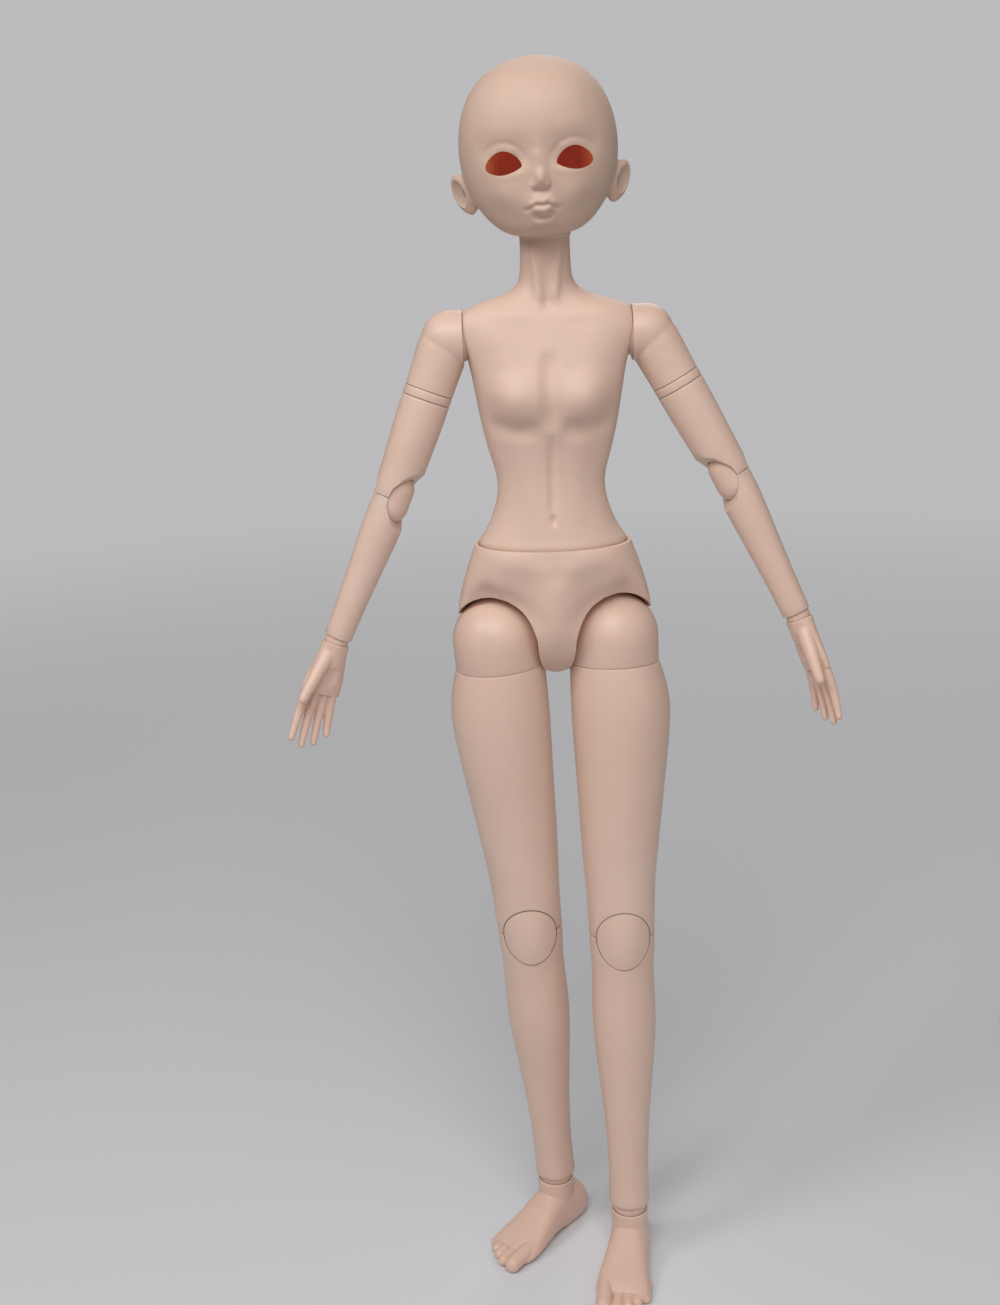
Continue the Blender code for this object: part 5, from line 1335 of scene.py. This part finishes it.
def paint_hollow(piece, centre):
    """Give the faces that look in on the head's hollow their own material: a dark red of painted shade with a painted
    glow.
    """
    take(piece)
    piece.data.materials.clear()
    piece.data.materials.append(head_finish())
    piece.data.materials.append(hollow_shade_and_glow_finish())
    for face in piece.data.polygons:
        inward = (face.center - centre).dot(face.normal) < 0.0
        if inward and in_hollow(face.center):
            face.material_index = 1


def in_hollow(point):
    """Whether a point lies on or near the head's inner wall, above the neck's socket."""
    head, body = sizes().head, sizes().body
    share = (point.z + head.chin_drop) / head.height
    stops = [ring[0] for ring in HEAD_INSIDE_SHARES]
    width = np.interp(share, stops, [ring[1] for ring in HEAD_INSIDE_SHARES]) * head.half_width
    deep_column = 2 if point.y < 0.0 else 3
    depth = np.interp(share, stops, [ring[deep_column] for ring in HEAD_INSIDE_SHARES]) * head.half_depth
    near_wall = (point.x / width) ** 2 + (point.y / depth) ** 2 < 1.12
    return near_wall and point.length > body.neck_ball + head.socket_wall * 0.8


def build_head():
    """The hollow head: modelled in clay, cut for the eyes and the neck, and parted into face and cap."""
    head, body, leg = sizes().head, sizes().body, sizes().leg
    skull = grow("skull", BODY_SIDES, head_rings(HEAD_SHARES), 2)
    lumps = [skull]
    bowls = []
    for sign in SIGN.values():
        leaves, place = ear_lumps(sign)
        lumps += leaves
        bowls.append((sign, place))
    piece = knead("head_casting", lumps, head.grain, 5)
    for sign, place in bowls:
        bowl = ball(1.0, Vector((sign * 0.0026, 0.0, 0.0012)), (0.0024, 0.0046, 0.0066), 32)
        settle(bowl, place)
        carve(piece, bowl)
        hole = ball(1.0, Vector((sign * 0.0006, -0.0018, -0.0002)), (0.0030, 0.0018, 0.0024), 24)
        settle(hole, place)
        carve(piece, hole)
    apply_step(piece, "SMOOTH", iterations=3, factor=0.5)
    model_face(piece)
    apply_step(piece, "SMOOTH", iterations=3, factor=0.5)
    carve(piece, drum(2.0 * head.half_width, -2.0 * head.height, -head.chin_drop))
    inside = grow("inside", BODY_SIDES, head_rings(HEAD_INSIDE_SHARES), 2)
    carve(inside, ball(body.neck_ball + leg.clearance + head.socket_wall))
    carve(piece, inside)
    carve(piece, ball(body.neck_ball + leg.clearance))
    bore(piece, head.socket_mouth, 0.0, 2.0 * body.neck_ball)
    bore(piece, body.neck_ball + leg.clearance, -2.0 * body.neck_ball, -0.002)
    for sign in SIGN.values():
        carve(piece, eye_tool(sign))
    take(piece)
    bpy.ops.object.duplicate()
    cap = bpy.context.object
    gap = leg.clearance * 0.5
    place = Matrix.Translation(joint_point("head_nod")) @ Matrix.Rotation(head.roll, 4, "Y")
    place = place @ Matrix.Rotation(head.turn, 4, "Z")
    for part, name, way, node in ((piece, "face_casting", 1.0, "head_face"), (cap, "cap_casting", -1.0, "head_cap")):
        part.name = part.data.name = name
        carve(part, plane_slab(gap, way))
        soften_rims(part, 0.0)
        paint_hollow(part, Vector((0.0, 0.0, head.height * 0.45)))
        settle(part, place)
        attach(part, "head")
        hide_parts(node)


# Strings and wires

def string_segment(name, start, end, diameter, body):
    """One straight stretch of covered elastic that moves with the piece that it runs through."""
    piece = rod(start, end, diameter / 2.0, 24)
    piece.name = piece.data.name = name
    take(piece)
    bpy.ops.object.mode_set(mode="EDIT")
    bpy.ops.mesh.select_all(action="SELECT")
    bpy.ops.mesh.bevel(offset=diameter * 0.12, segments=2, affect="EDGES", profile=0.5)
    bpy.ops.object.mode_set(mode="OBJECT")
    soften_rims(piece, 0.0)
    piece.data.materials.clear()
    piece.data.materials.append(elastic_finish())
    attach(piece, body)
    return piece


def build_strings():
    neck, waist = joint_point("neck_turn"), joint_point("waist_bend")
    crown = neck - UP * sizes().head.chin_drop
    first_leg, first_arm = None, None
    for side, sign in SIGN.items():
        places = leg_places(side)
        hip, knee, low = (places[name].translation for name in ("thigh", "knee", "shin"))
        ankle = places["ankle"].translation
        hole = waist - UP * sizes().body.waist_ball * 0.8 + Vector((sign * 0.0022, 0.0, 0.0))
        run = (
            ("neck_string", crown + Vector((sign * 0.0022, 0.0, -0.0015)), hole, "torso"),
            ("hip_string", hole, hip.lerp(hole, 0.4), "pelvis"),
            ("hip_ball_string", hip.lerp(hole, 0.38), hip.lerp(knee, 0.06), f"{side}_hip_ball"),
            ("thigh_string", hip.lerp(knee, 0.06), knee, f"{side}_thigh"),
            ("knee_string", knee, low, f"{side}_knee_joint"),
            ("shin_string", low, ankle, f"{side}_shin"),
        )
        for name, start, end, body in run:
            piece = string_segment(f"{side}_{name}", start, end, 0.0024, body)
            first_leg = first_leg or piece
        arm = arm_places(side)
        shoulder, root, ring = arm["shoulder"].translation, arm["root"], arm["ring"].translation
        elbow, forearm, wrist = (arm[name].translation for name in ("elbow", "forearm", "wrist"))
        middle = Vector((0.0, shoulder.y + 0.0032, shoulder.z))
        run = (
            ("chest_string", middle, shoulder, "torso"),
            ("shoulder_string", shoulder, ring, f"{side}_shoulder"),
            ("upper_arm_string", ring, elbow, f"{side}_upper_arm"),
            ("elbow_string", elbow, forearm, f"{side}_elbow_joint"),
            ("forearm_string", forearm, wrist, f"{side}_forearm"),
        )
        for name, start, end, body in run:
            piece = string_segment(f"{side}_{name}", start, end, 0.0020, body)
            first_arm = first_arm or piece
    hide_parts("leg_elastic")
    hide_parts("arm_elastic")


def build_wires():
    """The wire hooks and the head's bar are the frame's own, with drawn wire's finish."""
    for name, node in frame["nodes"].items():
        if name.endswith("_hook") or name == "head_bar":
            node.data.materials.clear()
            node.data.materials.append(wire_finish())


# Stage

def floor_finish(stage_tint):
    """Pale floor that fades into the background before its edge."""
    finish = Finish("floor")
    cloud = finish.noise(3.0, 2.0)
    finish.set(base_color=finish.mix(cloud, shade(stage_tint, 0.985), shade(stage_tint, 1.0)), roughness=0.75)
    finish.set(specular_ior_level=0.2)
    away = finish.add("ShaderNodeVectorMath", {"operation": "LENGTH"}, {0: finish.place()}).out("Value")
    fade = finish.ramp(away, 0.35, 1.9)
    clear = finish.add("ShaderNodeBsdfTransparent")
    mixer = finish.add("ShaderNodeMixShader", None, {0: fade})
    finish.tree.links.new(finish.shader.outputs[0], mixer.node.inputs[1])
    finish.tree.links.new(clear.node.outputs[0], mixer.node.inputs[2])
    output = finish.tree.nodes["Material Output"]
    finish.tree.links.new(mixer.node.outputs[0], output.inputs["Surface"])
    return finish.material


def build_floor(stage, tint):
    clear_picks()
    bpy.ops.mesh.primitive_circle_add(vertices=96, radius=stage.floor_radius, fill_type="NGON", location=ORIGIN)
    floor = bpy.context.object
    floor.name = "floor"
    floor.data.materials.append(floor_finish(tint))


def build_world(tint):
    """Plain soft light all round, with the background's colour shown to the camera."""
    world = bpy.data.worlds.new("studio")
    bpy.context.scene.world = world
    world.use_nodes = True
    tree = world.node_tree
    tree.nodes.clear()
    path = tree.nodes.new("ShaderNodeLightPath")
    soft = tree.nodes.new("ShaderNodeBackground")
    soft.inputs["Color"].default_value = (1.0, 0.93, 0.86, 1.0)
    soft.inputs["Strength"].default_value = 0.17
    shown = tree.nodes.new("ShaderNodeBackground")
    shown.inputs["Color"].default_value = (*tint, 1.0)
    seen = tree.nodes.new("ShaderNodeMixShader")
    output = tree.nodes.new("ShaderNodeOutputWorld")
    tree.links.new(path.outputs["Is Camera Ray"], seen.inputs[0])
    tree.links.new(soft.outputs[0], seen.inputs[1])
    tree.links.new(shown.outputs[0], seen.inputs[2])
    tree.links.new(seen.outputs[0], output.inputs["Surface"])


def add_lamp(name, place, target, size, power, tint=(1.0, 1.0, 1.0)):
    clear_picks()
    bpy.ops.object.light_add(type="AREA", location=place)
    lamp = bpy.context.object
    lamp.name = name
    lamp.data.shape = "DISK"
    lamp.data.size = size
    lamp.data.energy = power
    lamp.data.color = tint
    lamp.rotation_euler = (Vector(target) - Vector(place)).to_track_quat("-Z", "Y").to_euler()


def build_camera(stage):
    hips = joint_point("waist_bend")
    data = bpy.data.cameras.new("camera")
    data.sensor_fit = "HORIZONTAL"
    data.sensor_width = 36.0
    data.lens = data.sensor_width * stage.lens_share
    data.clip_start = 0.01
    camera = bpy.data.objects.new("camera", data)
    bpy.context.scene.collection.objects.link(camera)
    spot = Vector((-stage.camera_side, hips.y - stage.camera_back, stage.camera_height))
    camera.matrix_world = (Matrix.Translation(spot) @ Matrix.Rotation(math.radians(90.0) - stage.camera_dip, 4, "X")
                           @ Matrix.Rotation(-stage.camera_roll, 4, "Z"))
    bpy.context.scene.camera = camera


class DollSizes(bpy.types.PropertyGroup):
    """All that can be changed on the doll."""
    leg: PointerProperty(type=LegSizes)
    arm: PointerProperty(type=ArmSizes)
    body: PointerProperty(type=BodySizes)
    head: PointerProperty(type=HeadSizes)
    finish: PointerProperty(type=Finishes)
    stage: PointerProperty(type=StageSizes)


def on_both_sides(build):
    for side in SIGN:
        build(side)
    return {"FINISHED"}


class DOLL_OT_pelvis(bpy.types.Operator):
    """Model the pelvis with its arches and the waist's bearing"""
    bl_idname = "doll.pelvis"
    bl_label = "Pelvis"

    def execute(self, context):
        build_pelvis()
        return {"FINISHED"}


class DOLL_OT_torso(bpy.types.Operator):
    """Model the torso, from the waist's bearing to the neck's ball"""
    bl_idname = "doll.torso"
    bl_label = "Torso"

    def execute(self, context):
        build_torso()
        return {"FINISHED"}


class DOLL_OT_head(bpy.types.Operator):
    """Model the hollow head as a face and a cap"""
    bl_idname = "doll.head"
    bl_label = "Head"

    def execute(self, context):
        build_head()
        return {"FINISHED"}


class DOLL_OT_hip_balls(bpy.types.Operator):
    """Model both hip balls"""
    bl_idname = "doll.hip_balls"
    bl_label = "Hip balls"

    def execute(self, context):
        return on_both_sides(build_hip_ball)


class DOLL_OT_thighs(bpy.types.Operator):
    """Model both thighs"""
    bl_idname = "doll.thighs"
    bl_label = "Thighs"

    def execute(self, context):
        return on_both_sides(build_thigh)


class DOLL_OT_knees(bpy.types.Operator):
    """Model both knee blocks with their shields"""
    bl_idname = "doll.knees"
    bl_label = "Knees"

    def execute(self, context):
        return on_both_sides(build_knee)


class DOLL_OT_shins(bpy.types.Operator):
    """Model both shins"""
    bl_idname = "doll.shins"
    bl_label = "Shins"

    def execute(self, context):
        return on_both_sides(build_shin)


class DOLL_OT_pivots(bpy.types.Operator):
    """Model the ankle and wrist balls"""
    bl_idname = "doll.pivots"
    bl_label = "Ankle and wrist balls"

    def execute(self, context):
        return on_both_sides(build_ankle_and_wrist)


class DOLL_OT_feet(bpy.types.Operator):
    """Model both feet"""
    bl_idname = "doll.feet"
    bl_label = "Feet"

    def execute(self, context):
        return on_both_sides(build_foot)


class DOLL_OT_shoulders(bpy.types.Operator):
    """Model both shoulders"""
    bl_idname = "doll.shoulders"
    bl_label = "Shoulders"

    def execute(self, context):
        return on_both_sides(build_shoulder)


class DOLL_OT_arm_rings(bpy.types.Operator):
    """Model both turning rings of the arms"""
    bl_idname = "doll.arm_rings"
    bl_label = "Arm rings"

    def execute(self, context):
        return on_both_sides(build_arm_ring)


class DOLL_OT_upper_arms(bpy.types.Operator):
    """Model both upper arms"""
    bl_idname = "doll.upper_arms"
    bl_label = "Upper arms"

    def execute(self, context):
        return on_both_sides(build_upper_arm)


class DOLL_OT_elbows(bpy.types.Operator):
    """Model both elbow blocks with their shields"""
    bl_idname = "doll.elbows"
    bl_label = "Elbows"

    def execute(self, context):
        return on_both_sides(build_elbow)


class DOLL_OT_forearms(bpy.types.Operator):
    """Model both forearms"""
    bl_idname = "doll.forearms"
    bl_label = "Forearms"

    def execute(self, context):
        return on_both_sides(build_forearm)


class DOLL_OT_hands(bpy.types.Operator):
    """Model both hands"""
    bl_idname = "doll.hands"
    bl_label = "Hands"

    def execute(self, context):
        return on_both_sides(build_hand)


class DOLL_OT_strings(bpy.types.Operator):
    """Run the elastic through the limbs and finish the wire hooks"""
    bl_idname = "doll.strings"
    bl_label = "Strings and wires"

    def execute(self, context):
        build_strings()
        build_wires()
        return {"FINISHED"}


class DOLL_OT_stage(bpy.types.Operator):
    """Set the floor, the lamps and the camera"""
    bl_idname = "doll.stage"
    bl_label = "Stage"

    def execute(self, context):
        stage, tint = sizes().stage, tuple(sizes().finish.floor)
        build_camera(stage)
        build_floor(stage, tint)
        build_world(tuple(sizes().finish.backdrop))
        chest = (0.0, 0.0, 0.35)
        add_lamp("key lamp", (-0.15, -1.0, 1.5), chest, 1.2, 15.5, (0.99, 0.985, 0.98))
        add_lamp("side lamp", (-0.9, -0.5, 1.3), chest, 0.5, 4.5, (0.98, 0.985, 1.0))
        add_lamp("fill lamp", (1.2, -1.1, 0.9), chest, 1.4, 3.0, (0.97, 0.98, 1.0))
        add_lamp("back lamp", (0.3, 1.3, 1.2), chest, 1.0, 4.0)
        context.scene.view_settings.view_transform = "Standard"
        return {"FINISHED"}


OPERATORS = (
    DOLL_OT_pelvis, DOLL_OT_torso, DOLL_OT_head, DOLL_OT_hip_balls, DOLL_OT_thighs, DOLL_OT_knees, DOLL_OT_shins,
    DOLL_OT_pivots, DOLL_OT_feet, DOLL_OT_shoulders, DOLL_OT_arm_rings, DOLL_OT_upper_arms, DOLL_OT_elbows,
    DOLL_OT_forearms, DOLL_OT_hands, DOLL_OT_strings, DOLL_OT_stage,
)


class DOLL_PT_panel(bpy.types.Panel):
    """The doll's pieces, in the order in which they are built."""
    bl_idname = "DOLL_PT_panel"
    bl_label = "Strung doll"
    bl_space_type = "VIEW_3D"
    bl_region_type = "UI"
    bl_category = "Doll"

    def draw(self, context):
        for operator in OPERATORS:
            self.layout.operator(operator.bl_idname)


GROUPS = (LegSizes, ArmSizes, BodySizes, HeadSizes, Finishes, StageSizes, DollSizes)


def register():
    for kind in GROUPS + OPERATORS + (DOLL_PT_panel,):
        bpy.utils.register_class(kind)
    bpy.types.Scene.strung_doll = PointerProperty(type=DollSizes)


def unregister():
    del bpy.types.Scene.strung_doll
    for kind in reversed(GROUPS + OPERATORS + (DOLL_PT_panel,)):
        bpy.utils.unregister_class(kind)


def main():
    register()
    for operator in OPERATORS:
        getattr(bpy.ops.doll, operator.bl_idname.split(".")[1])()


if __name__ == "__main__":
    main()
